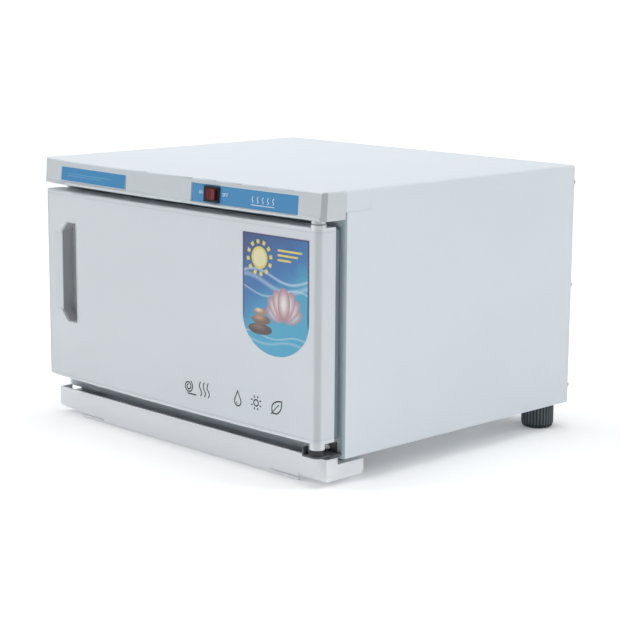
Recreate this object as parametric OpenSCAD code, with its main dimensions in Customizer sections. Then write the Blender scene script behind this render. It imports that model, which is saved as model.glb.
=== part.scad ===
/* [Cabinet] */
// Width over the two painted side panels
case_w = 450; // [420:1:500]
// Depth of the painted side panels
case_d = 357; // [330:1:400]
// Height of the painted side panels
case_h = 266.5; // [260:0.5:300]
// Thickness of the painted steel sheet
sheet_t = 1; // [0.8:0.1:1.2]
// Outer radius of the sheet's bends
bend_r = 3; // [2.9:0.1:5]
// Width of the folded returns round the side panels' edges
return_w = 6; // [5:0.5:8]
// Gap that pieces of one assembly keep from their seats
seat = 0.1; // [0.05:0.05:0.2]

/* [Feet] */
// Height of the side panels' lower edge above the floor
foot_gap = 28.3; // [28:0.1:36]
// Radius of a foot over its ribs
foot_r = 18; // [14:0.2:19]
// Number of upright ribs round a foot
foot_ribs = 30; // [12:1:32]
// Depth of rubber between a foot's screw head and the side panels' lower edge
foot_web = 8; // [6:0.5:12]
// Gap between a back foot and the folded return beside it
back_foot_x = 0.6; // [0.4:0.1:30]
// Inset of the back feet's edge from the case's back
back_foot_y = 3.6; // [2.4:0.1:30]
// Inset of the front feet's middle from the sides
front_foot_x = 75; // [40:1:120]
// Gap between the drip tray and the front feet
front_foot_y = 10.6; // [3:0.1:60]

/* [Header] */
// Height of the moulded header on the front
header_h = 28; // [26:0.5:32]
// Reach of the header's upper edge in front of the case, at its ends
header_reach = 28.2; // [26:0.2:32]
// How much further its lower edge reaches
header_lean = 2.6; // [1:0.1:4]
// How far the middle of the front bows forward
header_bow = 5.7; // [3:0.1:8]
// Wall thickness of the moulding
header_wall = 2.2; // [1.8:0.1:2.6]
// Bevel on the header's front corners
header_bevel = 4.6; // [2:0.1:6]
// Depth of the flange that wraps over the top and sides of the case
flange_d = 36; // [20:1:50]
// Thickness of that flange
flange_t = 1.4; // [1:0.1:1.8]
// Height of its side tabs
flange_h = 21; // [12:1:30]

/* [Labels and switch] */
// Width of the left label
label_l_w = 111.5; // [60:0.5:130]
// Height of the left label
label_l_h = 14.2; // [8:0.2:18]
// Inset of the left label from the left end
label_l_x = 38; // [20:0.5:70]
// Width of the right label
label_r_w = 154; // [140:0.5:170]
// Height of the right label
label_r_h = 19.6; // [18.8:0.2:21]
// Inset of the right label from the right end
label_r_x = 34; // [28:0.5:40]
// Height of the labels' middle above the header's lower edge
label_z = 13; // [12.5:0.1:13.5]
// Thickness of a label
label_t = 0.5; // [0.4:0.1:0.8]
// Depth of the right label's pocket
pocket_t = 1.5; // [0.9:0.1:1.6]
// Width of the switch's bezel
switch_w = 22.4; // [21.8:0.2:24]
// Height of the switch's bezel
switch_h = 16; // [15.6:0.2:17]
// Distance of the switch's middle from the right label's left edge
switch_x = 31.5; // [28:0.5:60]
// Half of the rocker's full tilt
rocker_tilt = 8; // [5:1:9]

/* [Door] */
// Gap between the door's top and the header
door_gap_top = 6.8; // [5:0.1:8]
// Height of the door's lower edge above the side panels' lower edge
door_gap_low = 18.3; // [16:0.1:20]
// Inset of the door's ends from the sides
door_inset = 5.2; // [4:0.1:7]
// Reach of the door's front at its ends, in front of the case
door_reach = 31; // [28:0.2:34]
// How far the middle of the door's front bows forward
door_bow = 3.9; // [2:0.1:5.5]
// Distance of the door's back from the case's front
door_back = 7.8; // [7.2:0.1:8.4]
// Wall thickness of the door's moulded shell
door_wall = 2.8; // [2:0.1:3.2]
// Radius of the hinge column at the door's right front corner
column_r = 7.7; // [7.2:0.1:8.4]
// Radius of the door's left front corner
door_corner_r = 5; // [3:0.2:7]
// Radius of the door's upper and lower front edges
door_edge_r = 2.4; // [1.2:0.2:3.5]
// How far the column stands above the door
column_up = 3.1; // [2:0.1:4]
// How far the column hangs below the door
column_down = 5.8; // [3:0.1:6.2]

/* [Handle] */
// Inset of the handle slot from the door's left edge
slot_x = 27.6; // [26:0.2:40]
// Width of the handle slot
slot_w = 29.5; // [22:0.5:32]
// Height of the handle slot
slot_h = 112.4; // [90:0.2:130]
// Height of the slot's middle above the door's middle
slot_z = 16.3; // [0:0.1:25]
// Corner cut on the slot's left side
slot_cut = 12; // [5:0.5:14]
// Height of the slot's raised rim
slot_rim = 0.4; // [0.2:0.1:0.8]
// Depth of the handle cup from the inside of the door's skin
cup_d = 15; // [10:0.5:16]
// Width of the finger scoop beside the slot
scoop_w = 13; // [6:0.5:18]
// Depth of the finger scoop at the slot
scoop_d = 1.9; // [1:0.1:2.1]

/* [Decal] */
// Width of the decal on the door
decal_w = 92.5; // [60:0.5:110]
// Height of the decal with its round foot
decal_h = 120.5; // [90:0.5:140]
// Depth of the decal's round foot
decal_round = 28; // [10:0.5:29]
// Inset of the decal from the door's right edge
decal_x = 12.3; // [9:0.1:20]
// Inset of the decal from the door's upper edge
decal_z = 12.5; // [8:0.1:20]
// Thickness of the decal
decal_t = 0.2; // [0.1:0.05:0.4]

/* [Gasket] */
// Width of the gasket's base
gasket_w = 14; // [12:0.5:15]
// Inset of the gasket's base from the door's ends
gasket_x = 1; // [0.7:0.1:1.4]
// Inset of the gasket's sealing bulb from the edge of its base
bulb_in = 3.8; // [3.6:0.1:4.2]
// Width of the sealing bulb
bulb_w = 9; // [8:0.2:9.6]
// Gap between the closed gasket and the front frame
seal_gap = 0.3; // [0.2:0.05:0.4]

/* [Chamber] */
// Distance from each side panel to the chamber
space_beside = 30; // [26:0.5:36]
// Height of the chamber's floor above the side panels' lower edge
space_below = 38; // [36.5:0.5:42]
// Distance from the chamber's ceiling up to the case's top
space_above = 54.5; // [52:0.5:60]
// Distance from the chamber's back up to the case's back
space_behind = 72; // [68:1:90]
// Thickness of the chamber's aluminium sheet
liner_t = 1; // [0.8:0.1:1.2]
// Thickness of the insulation round the chamber
insul_t = 17; // [12:0.5:18]
// Width of the rack ledges
ledge_w = 7; // [6:0.5:9]
// Height of a rack ledge
ledge_h = 5; // [3:0.5:7]
// Height of the lower ledge's top above the floor
ledge_low = 20; // [14:1:30]
// Height of the upper ledge's top above the floor
ledge_high = 92; // [60:1:100]

/* [Racks] */
// Radius of a rack's frame wire
frame_wire_r = 2; // [1.5:0.1:2.4]
// Radius of the cross wires
wire_r = 1.25; // [0.8:0.05:1.4]
// Number of wires that run front to back
wire_count = 16; // [10:1:20]
// Corner radius of a rack's frame
rack_corner = 14; // [8:1:20]
// Gap between a rack and the chamber's side walls
rack_gap = 2; // [1:0.25:3]
// How far a rack can slide forward before it meets the closed door
rack_play = 8; // [5:0.5:10]

/* [Lamp] */
// Radius of the lamp tube
lamp_r = 7.75; // [6:0.25:8]
// Length of the lamp tube
lamp_l = 135; // [120:1:212]
// Distance of the lamp's axis below the ceiling
lamp_drop = 16; // [15:0.5:18]
// Distance of the lamp's axis from the chamber's back
lamp_back = 36; // [28:1:60]
// Radius of the guard's wire
guard_wire_r = 1; // [0.8:0.1:1.4]
// Number of hoops in the guard
guard_hoops = 7; // [5:1:9]

/* [Electrics] */
// Length of the lamp's ballast
ballast_l = 64; // [40:1:80]
// Width of the ballast
ballast_w = 26; // [18:1:30]
// Height of the ballast
ballast_h = 30; // [20:1:40]
// Radius of the lamp's starter
starter_r = 10.5; // [8:0.5:11]
// Height of the starter
starter_h = 38; // [24:1:42]
// Length of the terminal block
terminal_w = 44; // [32:1:60]

/* [Hinges] */
// Radius of the hinge pins
pin_r = 3; // [2.5:0.1:3.2]
// Radial running gap between pin and bush
pin_gap = 0.05; // [0.03:0.01:0.08]
// Depth to which a pin enters the door
pin_depth = 16; // [10:0.5:22]
// Wall thickness of a hinge bush
bush_t = 2; // [1.5:0.1:2.4]
// Thickness of the hinge brackets' plates
bracket_t = 2; // [1.6:0.1:2.4]
// Height of the lower bracket's underside above the side panels' lower edge
bracket_z = 4.2; // [3:0.1:4.6]
// Width of the lower bracket
bracket_w = 24; // [22:0.5:28]

/* [Drip tray] */
// Inset of the tray's ends from the side panels
tray_inset = 6.2; // [4:0.1:10]
// Reach of the tray's front in front of the case
tray_reach = 17.2; // [14:0.2:22]
// Depth of the tray behind the case's front
tray_behind = 35; // [30:0.5:38]
// Height of the tray's front rim above the side panels' lower edge
tray_rim = 1.2; // [0:0.1:2.2]
// Depth of the tray's underside below the side panels' lower edge
tray_low = 23.4; // [20:0.1:24]
// Depth of the front skirt below the same edge
skirt_low = 27.2; // [25:0.1:27.4]
// Wall thickness of the tray
tray_wall = 2; // [1.6:0.1:2.4]
// Radius of the tray's lower edges
tray_edge_r = 5.5; // [2.5:0.5:6]

/* [Back] */
// Number of louvres in a column
louvre_rows = 6; // [3:1:8]
// Length of a louvre
louvre_l = 70; // [40:1:80]
// Reach of a louvre
louvre_r = 3.5; // [2.5:0.1:3.9]
// Bore radius of the cord inlet bushing
inlet_r = 3.8; // [3:0.1:5]
// Reach of the bushing behind the back panel
inlet_reach = 4; // [3:0.5:6]

/* [Hidden] */

$fn = 48;
bow_fn = 2880;
bow_step = 360 / 256;
eps = 0.01;
clear = 0.3;
half_w = case_w / 2;
frame_top = case_h - 2 * return_w;

header_z = case_h - header_h;
header_half = half_w - header_bevel;
header_boss_x = [-0.73 * half_w, -half_w / 8, 0.095 * half_w, 0.78 * half_w];
header_boss_z = header_z + header_h * 0.41;
header_boss_r = 3.6;
header_screw_l = 13;
header_rib_x = [-0.75 * half_w - 12, -0.27 * half_w, -0.04 * half_w];
header_rib_t = 1.6;
header_bow_r = bow_radius(header_half, header_bow);
head_edge_r = 2.2;
lip_r = 2.4;
lip_out = 1;
face_slope = (header_lean - lip_out) / (header_h - head_edge_r - 2 * lip_r);
face_angle = atan(face_slope);

label_mid = header_z + label_z;
left_x = [-half_w + label_l_x, -half_w + label_l_x + label_l_w];
left_z = [label_mid - label_l_h / 2, label_mid + label_l_h / 2];
right_x = [half_w - label_r_x - label_r_w, half_w - label_r_x];
right_z = [label_mid - label_r_h / 2, label_mid + label_r_h / 2];
switch_mid = right_x[0] + switch_x;
switch_face = face_reach(label_mid) - bow_drop(switch_mid, header_bow_r) - pocket_t;
body_w = switch_w - 2.6;
body_h = switch_h - 2.8;
rocker_half = body_w / 2 - 1.5;
rocker_h = body_h - 2.4;
rocker_tip = [rocker_half - 0.8, 3.6];
rocker_out = rocker_tip[0] * sin(rocker_tilt - asin(switch_mid / header_bow_r)) + rocker_tip[1] * cos(rocker_tilt);

// The whole is centred front to back between the rocker or the header's bow and the bushing
front_reach = max(header_reach + header_lean + header_bow,
                  switch_face + rocker_out * cos(face_angle) + rocker_h / 2 * sin(face_angle));
back_reach = sheet_t + inlet_reach;
case_y = (front_reach - case_d - back_reach) / 2;

door_half = half_w - door_inset;
door_z = door_gap_low;
door_top = header_z - door_gap_top;
door_apex = door_reach + door_bow;
door_bow_r = bow_radius(door_half, door_bow);
hinge_x = door_half - column_r;
hinge_y = column_r - (door_apex - bow_drop(hinge_x, door_bow_r));
stile_x = hinge_x - column_r - 2;
liner_plate = 1.6;
field_in = gasket_x + gasket_w + 4;
field_gap = 2.4;
field_rise = door_back - field_gap;

top_plate_z = header_z + header_wall + clear;

chamber_half = half_w - space_beside;
chamber_z = space_below;
chamber_top = case_h - space_above;
chamber_back = case_d - space_behind;
liner_front = sheet_t + seat;
insul_back = chamber_back + liner_t + seat + insul_t;
deck_z = 2 * sheet_t + seat;

inlet_place = [half_w - 70, case_d + seat, chamber_z];
inlet_wall = 3;
inlet_in = 4;

tray_half = half_w - tray_inset;
pan_h = 12;
rail_z = -9.4;
rail_t = 1.6;
screw_r = 1.75;
screw_head_r = 3.4;
screw_head_t = 1.6;
back_screw_l = 6;
bracket_screw_l = 8;
bracket_screw_x = 6;
door_screw_l = 12;

function bow_radius(half, bow) = (half * half + bow * bow) / (2 * bow);
function bow_drop(x, r) = r - sqrt(r * r - x * x);

module in_case() { translate([0, case_y, foot_gap]) children(); }

module along_y(y0, y1) { translate([0, y1, 0]) rotate([90, 0, 0]) linear_extrude(y1 - y0) children(); }

module along_x(x0, x1) { translate([x0, 0, 0]) rotate([90, 0, 90]) linear_extrude(x1 - x0) children(); }

module along_z(z0, z1) { translate([0, 0, z0]) linear_extrude(z1 - z0) children(); }

module box(lo, hi) { translate(lo) cube(hi - lo); }

// A rectangle with its four corners rounded, given by two opposite corners
module round_rect(lo, hi, r) {
    translate([lo[0] + r, lo[1]]) square([hi[0] - lo[0] - 2 * r, hi[1] - lo[1]]);
    translate([lo[0], lo[1] + r]) square([hi[0] - lo[0], hi[1] - lo[1] - 2 * r]);
    for (x = [lo[0] + r, hi[0] - r], y = [lo[1] + r, hi[1] - r]) translate([x, y]) circle(r);
}

// A section in reach and height, swept along the bow of the front; an even count of steps keeps one on the middle
module bowed(radius, apex) {
    need = 2 * asin(half_w / radius) + 0.2;
    steps = ceil(need / bow_step);
    angle = steps % 2 == 0 ? need : steps * bow_step + eps;
    translate([0, radius - apex, 0]) rotate([0, 0, -90 - angle / 2])
        rotate_extrude(angle = angle, $fn = bow_fn) translate([radius - apex, 0]) children();
}

// A pan head screw whose shank points along +Y from the origin
module screw(length) {
    rotate([-90, 0, 0]) {
        cylinder(r = screw_r, h = length);
        translate([0, 0, -screw_head_t]) cylinder(r1 = screw_head_r - 0.7, r2 = screw_head_r, h = screw_head_t);
    }
}

// Front outline of the case, inset all round its top and sides
module case_outline(inset) {
    r = max(bend_r - inset, 0.2);
    difference() {
        round_rect([-half_w + inset, -20], [half_w - inset, case_h - inset], r);
        translate([-case_w, -40]) square([2 * case_w, 40]);
    }
}

// Plan of the case with its two front corners rounded
module case_plan(inset) {
    r = max(bend_r - inset, 0.2);
    round_rect([-half_w + inset, inset], [half_w - inset, case_d + 20], r);
}

module case_block(inset, y1) {
    intersection() {
        along_y(inset, y1) case_outline(inset);
        along_z(-1, case_h + 1) case_plan(inset);
    }
}

// The space of the header's wrap-over flange, with a running depth and inset
module flange_space(depth, inset, drop) {
    along_y(-1, depth) difference() {
        translate([-case_w, case_h - flange_h - drop]) square([2 * case_w, flange_h + drop + 20]);
        case_outline(inset);
    }
}

module outer_wrap() {
    fold = half_w - return_w;
    recess = flange_t + seat;
    color([0.83, 0.87, 0.9]) in_case() difference() {
        union() {
            difference() {
                case_block(0, case_d);
                intersection() {
                    case_block(sheet_t, case_d - sheet_t);
                    box([-half_w, 0, sheet_t], [half_w, case_d, case_h]);
                }
                box([-fold, -1, -1], [fold, sheet_t + 1, frame_top]);
                box([-fold, case_d - sheet_t - 1, -1], [fold, case_d + 1, case_h - return_w]);
                box([-fold, -1, -1], [fold, case_d + 1, sheet_t + eps]);
            }
            intersection() {
                case_block(0, flange_d + seat + sheet_t);
                flange_space(flange_d + seat + sheet_t, recess + sheet_t, sheet_t);
            }
        }
        flange_space(flange_d + seat, recess, seat);
        back_screw_places() rotate([90, 0, 0]) cylinder(r = screw_r + pin_gap, h = 8, center = true);
    }
}

module back_screw_places() {
    low = sheet_t + pan_h + 6;
    rise = (case_h - 2 * low) / 2;
    side = half_w - return_w / 2 - sheet_t / 2;
    for (s = [-1, 1], k = [0 : 2])
        translate([s * side, case_d, low + k * rise]) children();
    for (s = [-1, 1]) translate([s * half_w / 3, case_d, case_h - return_w / 2 - sheet_t / 2]) children();
}

// A pressed louvre, open along its lower side
module louvre() {
    difference() {
        intersection() {
            rotate([0, 90, 0]) cylinder(r = louvre_r, h = louvre_l, center = true);
            box([-louvre_l, 0, 0], [louvre_l, 2 * louvre_r, 2 * louvre_r]);
        }
        intersection() {
            rotate([0, 90, 0]) cylinder(r = louvre_r - sheet_t, h = louvre_l - 2 * sheet_t, center = true);
            box([-louvre_l, -1, -1], [louvre_l, 2 * louvre_r, 2 * louvre_r]);
        }
    }
}

module back_panel() {
    edge = 1.6;
    pitch = 4 * louvre_r;
    low = case_h / 2 + pitch;
    y0 = case_d + seat;
    color([0.8, 0.84, 0.87]) in_case() {
        difference() {
            union() {
                along_y(y0, y0 + sheet_t) round_rect([-half_w + edge, edge], [half_w - edge, case_h - edge], 3);
                for (s = [-1, 1], k = [0 : louvre_rows - 1])
                    translate([s * half_w / 2, y0 + sheet_t - eps, low + k * pitch]) louvre();
            }
            for (s = [-1, 1], k = [0 : louvre_rows - 1])
                translate([s * half_w / 2, y0 + sheet_t / 2, low + k * pitch + louvre_r / 2 - sheet_t / 2])
                    cube([louvre_l - 2 * sheet_t, sheet_t + 1, louvre_r - sheet_t], center = true);
            back_screw_places() rotate([90, 0, 0]) cylinder(r = screw_r + seat, h = 8, center = true);
            translate(inlet_place) rotate([90, 0, 0])
                cylinder(r = inlet_r + inlet_wall + seat, h = 8, center = true);
        }
    }
}

module back_screws() {
    color([0.72, 0.73, 0.74]) in_case() back_screw_places()
        translate([0, 2 * seat + sheet_t, 0]) rotate([0, 0, 180]) screw(back_screw_l);
}

module foot_places() {
    for (s = [-1, 1]) {
        translate([s * (half_w - return_w - back_foot_x - foot_r), case_d - back_foot_y - foot_r, 0]) children();
        translate([s * (half_w - front_foot_x), tray_behind + front_foot_y + foot_r, 0]) children();
    }
}

module base_pan() {
    inner = half_w - sheet_t - seat;
    y0 = 2 * sheet_t + 3 * seat;
    y1 = case_d - sheet_t - seat;
    z0 = sheet_t + seat;
    color([0.78, 0.82, 0.85]) in_case() difference() {
        intersection() {
            case_block(sheet_t + seat, y1);
            difference() {
                box([-half_w, y0, z0], [half_w, y1 + 1, z0 + pan_h]);
                box([-inner + sheet_t, -1, z0 + sheet_t], [inner - sheet_t, y1 - sheet_t, case_h]);
            }
        }
        for (x = [-5 : 5], k = [0 : 3])
            translate([x * 26, case_d / 2 - 36 + k * 24, 0])
                along_z(0, 10) round_rect([-9, -1.6], [9, 1.6], 1.5);
        foot_places() cylinder(r = screw_r + 0.2, h = 20, center = true);
    }
}

module feet() {
    top = sheet_t;
    rib_r = 1.3;
    core_r = foot_r - 0.8;
    edge_r = 3.5;
    color([0.13, 0.14, 0.15]) in_case() foot_places() translate([0, 0, -foot_gap]) difference() {
        union() {
            rotate_extrude() {
                square([core_r - edge_r, foot_gap + top]);
                translate([0, edge_r]) square([core_r, foot_gap + top - edge_r]);
                translate([core_r - edge_r, edge_r]) circle(edge_r);
            }
            for (k = [0 : foot_ribs - 1]) rotate([0, 0, k * 360 / foot_ribs])
                translate([foot_r - rib_r, 0, edge_r + 1])
                    cylinder(r = rib_r, h = foot_gap + top - edge_r - 2, $fn = 24);
        }
        translate([0, 0, -1]) cylinder(r = screw_head_r + 1.6, h = foot_gap - foot_web + 1);
        cylinder(r = screw_r + seat, h = 2 * foot_gap);
    }
}

module foot_screws() {
    color([0.6, 0.61, 0.62]) in_case() foot_places()
        translate([0, 0, -foot_web - seat]) rotate([90, 0, 0]) screw(foot_web + deck_z + 5);
}

module front_frame() {
    fold = half_w - return_w - seat;
    color([0.74, 0.77, 0.79]) in_case() difference() {
        union() {
            box([-fold, 0, 0], [fold, sheet_t, frame_top - seat]);
            intersection() {
                case_block(sheet_t + seat, 2 * sheet_t + seat);
                box([-half_w, 0, deck_z + seat], [half_w, 10, case_h - flange_h - sheet_t - 3 * seat]);
            }
            intersection() {
                case_block(flange_t + sheet_t + 2 * seat, 10);
                box([-half_w, sheet_t + seat, deck_z + seat], [half_w, 2 * sheet_t + seat, case_h]);
            }
            for (s = [-1, 1]) box([s * (fold - 4) - 3, eps, deck_z + 1],
                                  [s * (fold - 4) + 3, 2 * sheet_t, frame_top - 2]);
            for (z = [deck_z + 1, frame_top - 6])
                box([-fold + 4, eps, z], [fold - 4, 2 * sheet_t, z + 4]);
        }
        box([-chamber_half, -1, chamber_z], [chamber_half, 4, chamber_top]);
        box([-chamber_half - 12, sheet_t, chamber_z - 12], [chamber_half + 12, 4, chamber_top + 12]);
        for (x = header_boss_x) translate([x, 0, header_boss_z])
            rotate([90, 0, 0]) cylinder(r = screw_r + seat, h = 12, center = true);
        bracket_screw_places() rotate([90, 0, 0]) cylinder(r = screw_r + seat, h = 12, center = true);
    }
}

function face_reach(z) = header_reach + header_bow + face_slope * (case_h - head_edge_r - z);

// Section of the header's front in reach and height, with the rolled lower lip
module header_section() {
    top = header_reach + header_bow;
    low = top + header_lean;
    polygon([[-4, header_z], [low - lip_r, header_z], [low - lip_r, header_z + lip_r],
             [low - lip_out, header_z + 2 * lip_r], [top, case_h - head_edge_r],
             [top - head_edge_r, case_h - head_edge_r], [top - head_edge_r, case_h], [-4, case_h]]);
    translate([top - head_edge_r, case_h - head_edge_r]) circle(head_edge_r);
    translate([low - lip_r, header_z + lip_r]) circle(lip_r);
}

// Section of the space behind the front, a wall thickness inside it
module header_hollow(inset) {
    z0 = header_z + inset;
    z1 = case_h - inset;
    polygon([[-4, z0], [face_reach(z0) - inset, z0], [face_reach(z1) - inset, z1], [-4, z1]]);
}

// Plan of the header with bevelled front corners
module header_plan(inset) {
    w = half_w - inset;
    f = header_reach - inset;
    b = header_bevel - 0.6 * inset;
    far = 30;
    polygon([[-w, far], [-w, b - f], [b + far - w, -f - far], [w - b - far, -f - far], [w, b - f], [w, far]]);
}

// A section swept along the header's bow and cut by its leaning ends, up to a back plane
module header_sweep(inset, back) {
    intersection() {
        bowed(header_bow_r, header_reach + header_bow) children();
        translate([0, 0, case_h]) rotate([-face_angle, 0, 0]) along_z(-header_h - 5, 5) header_plan(inset);
        box([-case_w, -60, 0], [case_w, back, case_h + 1]);
    }
}

// A thin plate that follows the header's bow and lean, from one depth to another below its face
module header_skin(d0, d1, x0, x1, z0, z1) {
    intersection() {
        bowed(header_bow_r, header_reach + header_bow) polygon([
            [face_reach(z0) - d1, z0], [face_reach(z0) - d0, z0],
            [face_reach(z1) - d0, z1], [face_reach(z1) - d1, z1]]);
        along_y(-60, 0) translate([x0, z0]) square([x1 - x0, z1 - z0]);
    }
}

// The switch sits square on the leaning, bowed face: -Y points out of it
module at_switch() {
    translate([switch_mid, -switch_face, label_mid]) rotate([-face_angle, 0, 0])
        rotate([0, 0, asin(switch_mid / header_bow_r)]) children();
}

module switch_hole() {
    at_switch() box([-body_w / 2 - seat, -20, -body_h / 2 - seat], [body_w / 2 + seat, 20, body_h / 2 + seat]);
}

module header_fascia() {
    color([0.8, 0.82, 0.83]) in_case() difference() {
        union() {
            difference() {
                header_sweep(0, 0) header_section();
                header_sweep(header_wall, 1) header_hollow(header_wall);
            }
            // Flange over the top and the sides of the case
            intersection() {
                along_y(-1, flange_d) case_outline(0);
                flange_space(flange_d, flange_t, 0);
            }
            // Screw bosses behind the face
            intersection() {
                header_sweep(header_wall / 2, -seat) header_hollow(header_wall / 2);
                for (x = header_boss_x) translate([x, 0, header_boss_z])
                    rotate([90, 0, 0]) cylinder(r = header_boss_r, h = 60);
            }
            // Upright ribs
            for (x = header_rib_x) intersection() {
                header_sweep(header_wall / 2, 0) header_hollow(header_wall / 2);
                box([x, -60, header_z], [x + header_rib_t, -header_screw_l - 1, case_h]);
            }
            // Boss that meets the door's hinge column
            translate([hinge_x, hinge_y, door_top + column_up + bush_flange + seat + clear])
                cylinder(r = column_r - 0.5, h = header_z - door_top - column_up + 1);
        }
        header_skin(-3, label_t + seat, left_x[0] - seat, left_x[1] + seat, left_z[0] - seat, left_z[1] + seat);
        header_skin(-3, pocket_t, right_x[0] - seat, right_x[1] + seat, right_z[0] - seat, right_z[1] + seat);
        switch_hole();
        for (x = header_boss_x) translate([x, 1, header_boss_z]) rotate([90, 0, 0])
            cylinder(r = screw_r + pin_gap, h = header_screw_l);
        translate([hinge_x, hinge_y, 0]) cylinder(r = pin_r + clear, h = case_h - 5);
    }
}

module header_screws() {
    color([0.6, 0.61, 0.62]) in_case() for (x = header_boss_x)
        translate([x, 2 * sheet_t + 2 * seat, header_boss_z]) rotate([0, 0, 180]) screw(header_screw_l);
}

module label_left() {
    color([0.3, 0.6, 0.82]) in_case() header_skin(0, label_t, left_x[0], left_x[1], left_z[0], left_z[1]);
}

module label_right() {
    color([0.3, 0.6, 0.82]) in_case() difference() {
        header_skin(pocket_t - label_t - seat, pocket_t - seat, right_x[0], right_x[1], right_z[0], right_z[1]);
        switch_hole();
    }
}

module switch_housing() {
    face = -label_t - 3 * seat;
    color([0.1, 0.1, 0.11]) in_case() at_switch() difference() {
        union() {
            along_y(face - 1.6, face) round_rect([-switch_w / 2, -switch_h / 2], [switch_w / 2, switch_h / 2], 1);
            box([-body_w / 2, face - 1, -body_h / 2], [body_w / 2, 18, body_h / 2]);
            for (x = [-5, 5]) box([x - 2.3, 17, -0.4], [x + 2.3, 24, 0.4]);
        }
        box([-body_w / 2 + 0.9, face - 5, -body_h / 2 + 1], [body_w / 2 - 0.9, 7.5, body_h / 2 - 1]);
        cylinder(r = 1 + pin_gap, h = body_h - 0.6, center = true);
    }
}

module rocker_button() {
    a = rocker_half;
    tip = rocker_tip;
    color([0.75, 0.08, 0.1]) in_case() at_switch() rotate([0, 0, -rocker_tilt]) {
        along_z(-rocker_h / 2, rocker_h / 2)
            polygon([[-a, -0.4], [-a, 0.3 - tip[1]], [-tip[0], -tip[1]], [0, 1.2 - tip[1]], [tip[0], -tip[1]],
                     [a, 0.3 - tip[1]], [a, -0.4], [2, 4], [-2, 4]]);
        cylinder(r = 1, h = body_h - 0.8, center = true);
    }
}

door_free = 1;
ledge_y0 = 6;
rack_y0 = rack_play + door_free - field_gap;
rack_y1 = chamber_back - 3;

module chamber_liner() {
    w = chamber_half + liner_t;
    z0 = chamber_z - liner_t;
    z1 = chamber_top + liner_t;
    lamp_y = chamber_back - lamp_back;
    color([0.78, 0.79, 0.8]) in_case() difference() {
        union() {
            difference() {
                union() {
                    box([-w, liner_front, z0], [w, chamber_back + liner_t, z1]);
                    box([-w - 9, liner_front, z0 - 9], [w + 9, liner_front + liner_t, z1 + 9]);
                }
                box([-chamber_half, -1, chamber_z], [chamber_half, chamber_back, chamber_top]);
            }
            // Pressed ledges that carry the racks
            for (s = [-1, 1], z = [ledge_low, ledge_high]) translate([0, 0, chamber_z + z])
                along_y(ledge_y0, chamber_back - 4)
                    polygon([[s * (chamber_half + liner_t / 2), 0], [s * (chamber_half - ledge_w + 1), 0],
                             [s * (chamber_half - ledge_w), -1], [s * (chamber_half - ledge_w), -ledge_h + 2],
                             [s * (chamber_half + liner_t / 2), -ledge_h]]);
        }
        for (s = [-1, 1]) translate([s * (lamp_l / 2 + lamp_wire), lamp_y + lamp_wire, chamber_top])
            cylinder(r = 3, h = 8, center = true);
    }
}

module insulation() {
    w = chamber_half + liner_t + seat;
    z0 = chamber_z - liner_t - heater_t - 2 * seat;
    z1 = chamber_top + liner_t + seat;
    y0 = liner_front + liner_t + seat;
    y1 = chamber_back + liner_t + seat;
    color([0.92, 0.85, 0.55]) in_case() difference() {
        box([-w - insul_t, y0, z0 - insul_t], [w + insul_t, y1 + insul_t, z1 + insul_t]);
        box([-w, 0, z0], [w, y1, z1]);
        for (p = [thermostat_place, cutoff_place]) translate([p[0], y1, p[1]]) rotate([-90, 0, 0])
            translate([0, 0, -1]) cylinder(r = 17, h = insul_t + 4);
        for (s = [-1, 1]) translate([s * (lamp_l / 2 + lamp_wire), chamber_back - lamp_back + lamp_wire, z1])
            cylinder(r = 3, h = 3 * insul_t);
    }
}

lamp_wire = 14;
heater_t = 3;
thermostat_place = [-70, chamber_z + 40];
cutoff_place = [-25, chamber_z + 40];

module chamber_supports() {
    z1 = chamber_z - liner_t - heater_t - 3 * seat - insul_t;
    color([0.7, 0.72, 0.74]) in_case() for (s = [-1, 1]) translate([s * chamber_half * 0.62, 0, 0])
        along_y(30, chamber_back - 10) difference() {
            translate([-17, deck_z + seat]) square([34, z1 - deck_z - seat]);
            translate([-9 + sheet_t, deck_z]) square([18 - 2 * sheet_t, z1 - deck_z - sheet_t]);
            for (t = [-1, 1]) translate([t * 14 - 5, deck_z + seat + sheet_t]) square([10, 60]);
        }
}

module heater_plate() {
    z1 = chamber_z - liner_t - seat;
    half = chamber_half - 45;
    color([0.62, 0.6, 0.55]) in_case() {
        along_z(z1 - heater_t, z1) round_rect([-half, 45], [half, chamber_back - 45], 6);
        for (s = [-1, 1]) box([s * 12 - 3, chamber_back - 46, z1 - 1.8], [s * 12 + 3, chamber_back - 34, z1 - 1]);
    }
}

// A disc thermostat whose face lies on the chamber's back wall
module disc_switch(place) {
    translate([place[0], chamber_back + liner_t + seat, place[1]]) rotate([-90, 0, 0]) {
        cylinder(r = 8, h = 6);
        translate([0, 0, 5]) cylinder(r = 7, h = 5.5);
        difference() {
            along_z(0, 1) round_rect([-15, -4], [15, 4], 3.9);
            for (x = [-12, 12]) translate([x, 0, -1]) cylinder(r = 1.6, h = 4);
        }
        for (x = [-3.5, 3.5]) box([x - 0.4, -3, 10], [x + 0.4, 3, 19]);
    }
}

module thermostat() { color([0.2, 0.2, 0.22]) in_case() disc_switch(thermostat_place); }

module thermal_cutoff() { color([0.5, 0.12, 0.1]) in_case() disc_switch(cutoff_place); }

lamp_axis = [0, chamber_back - lamp_back, chamber_top - lamp_drop];

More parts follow.
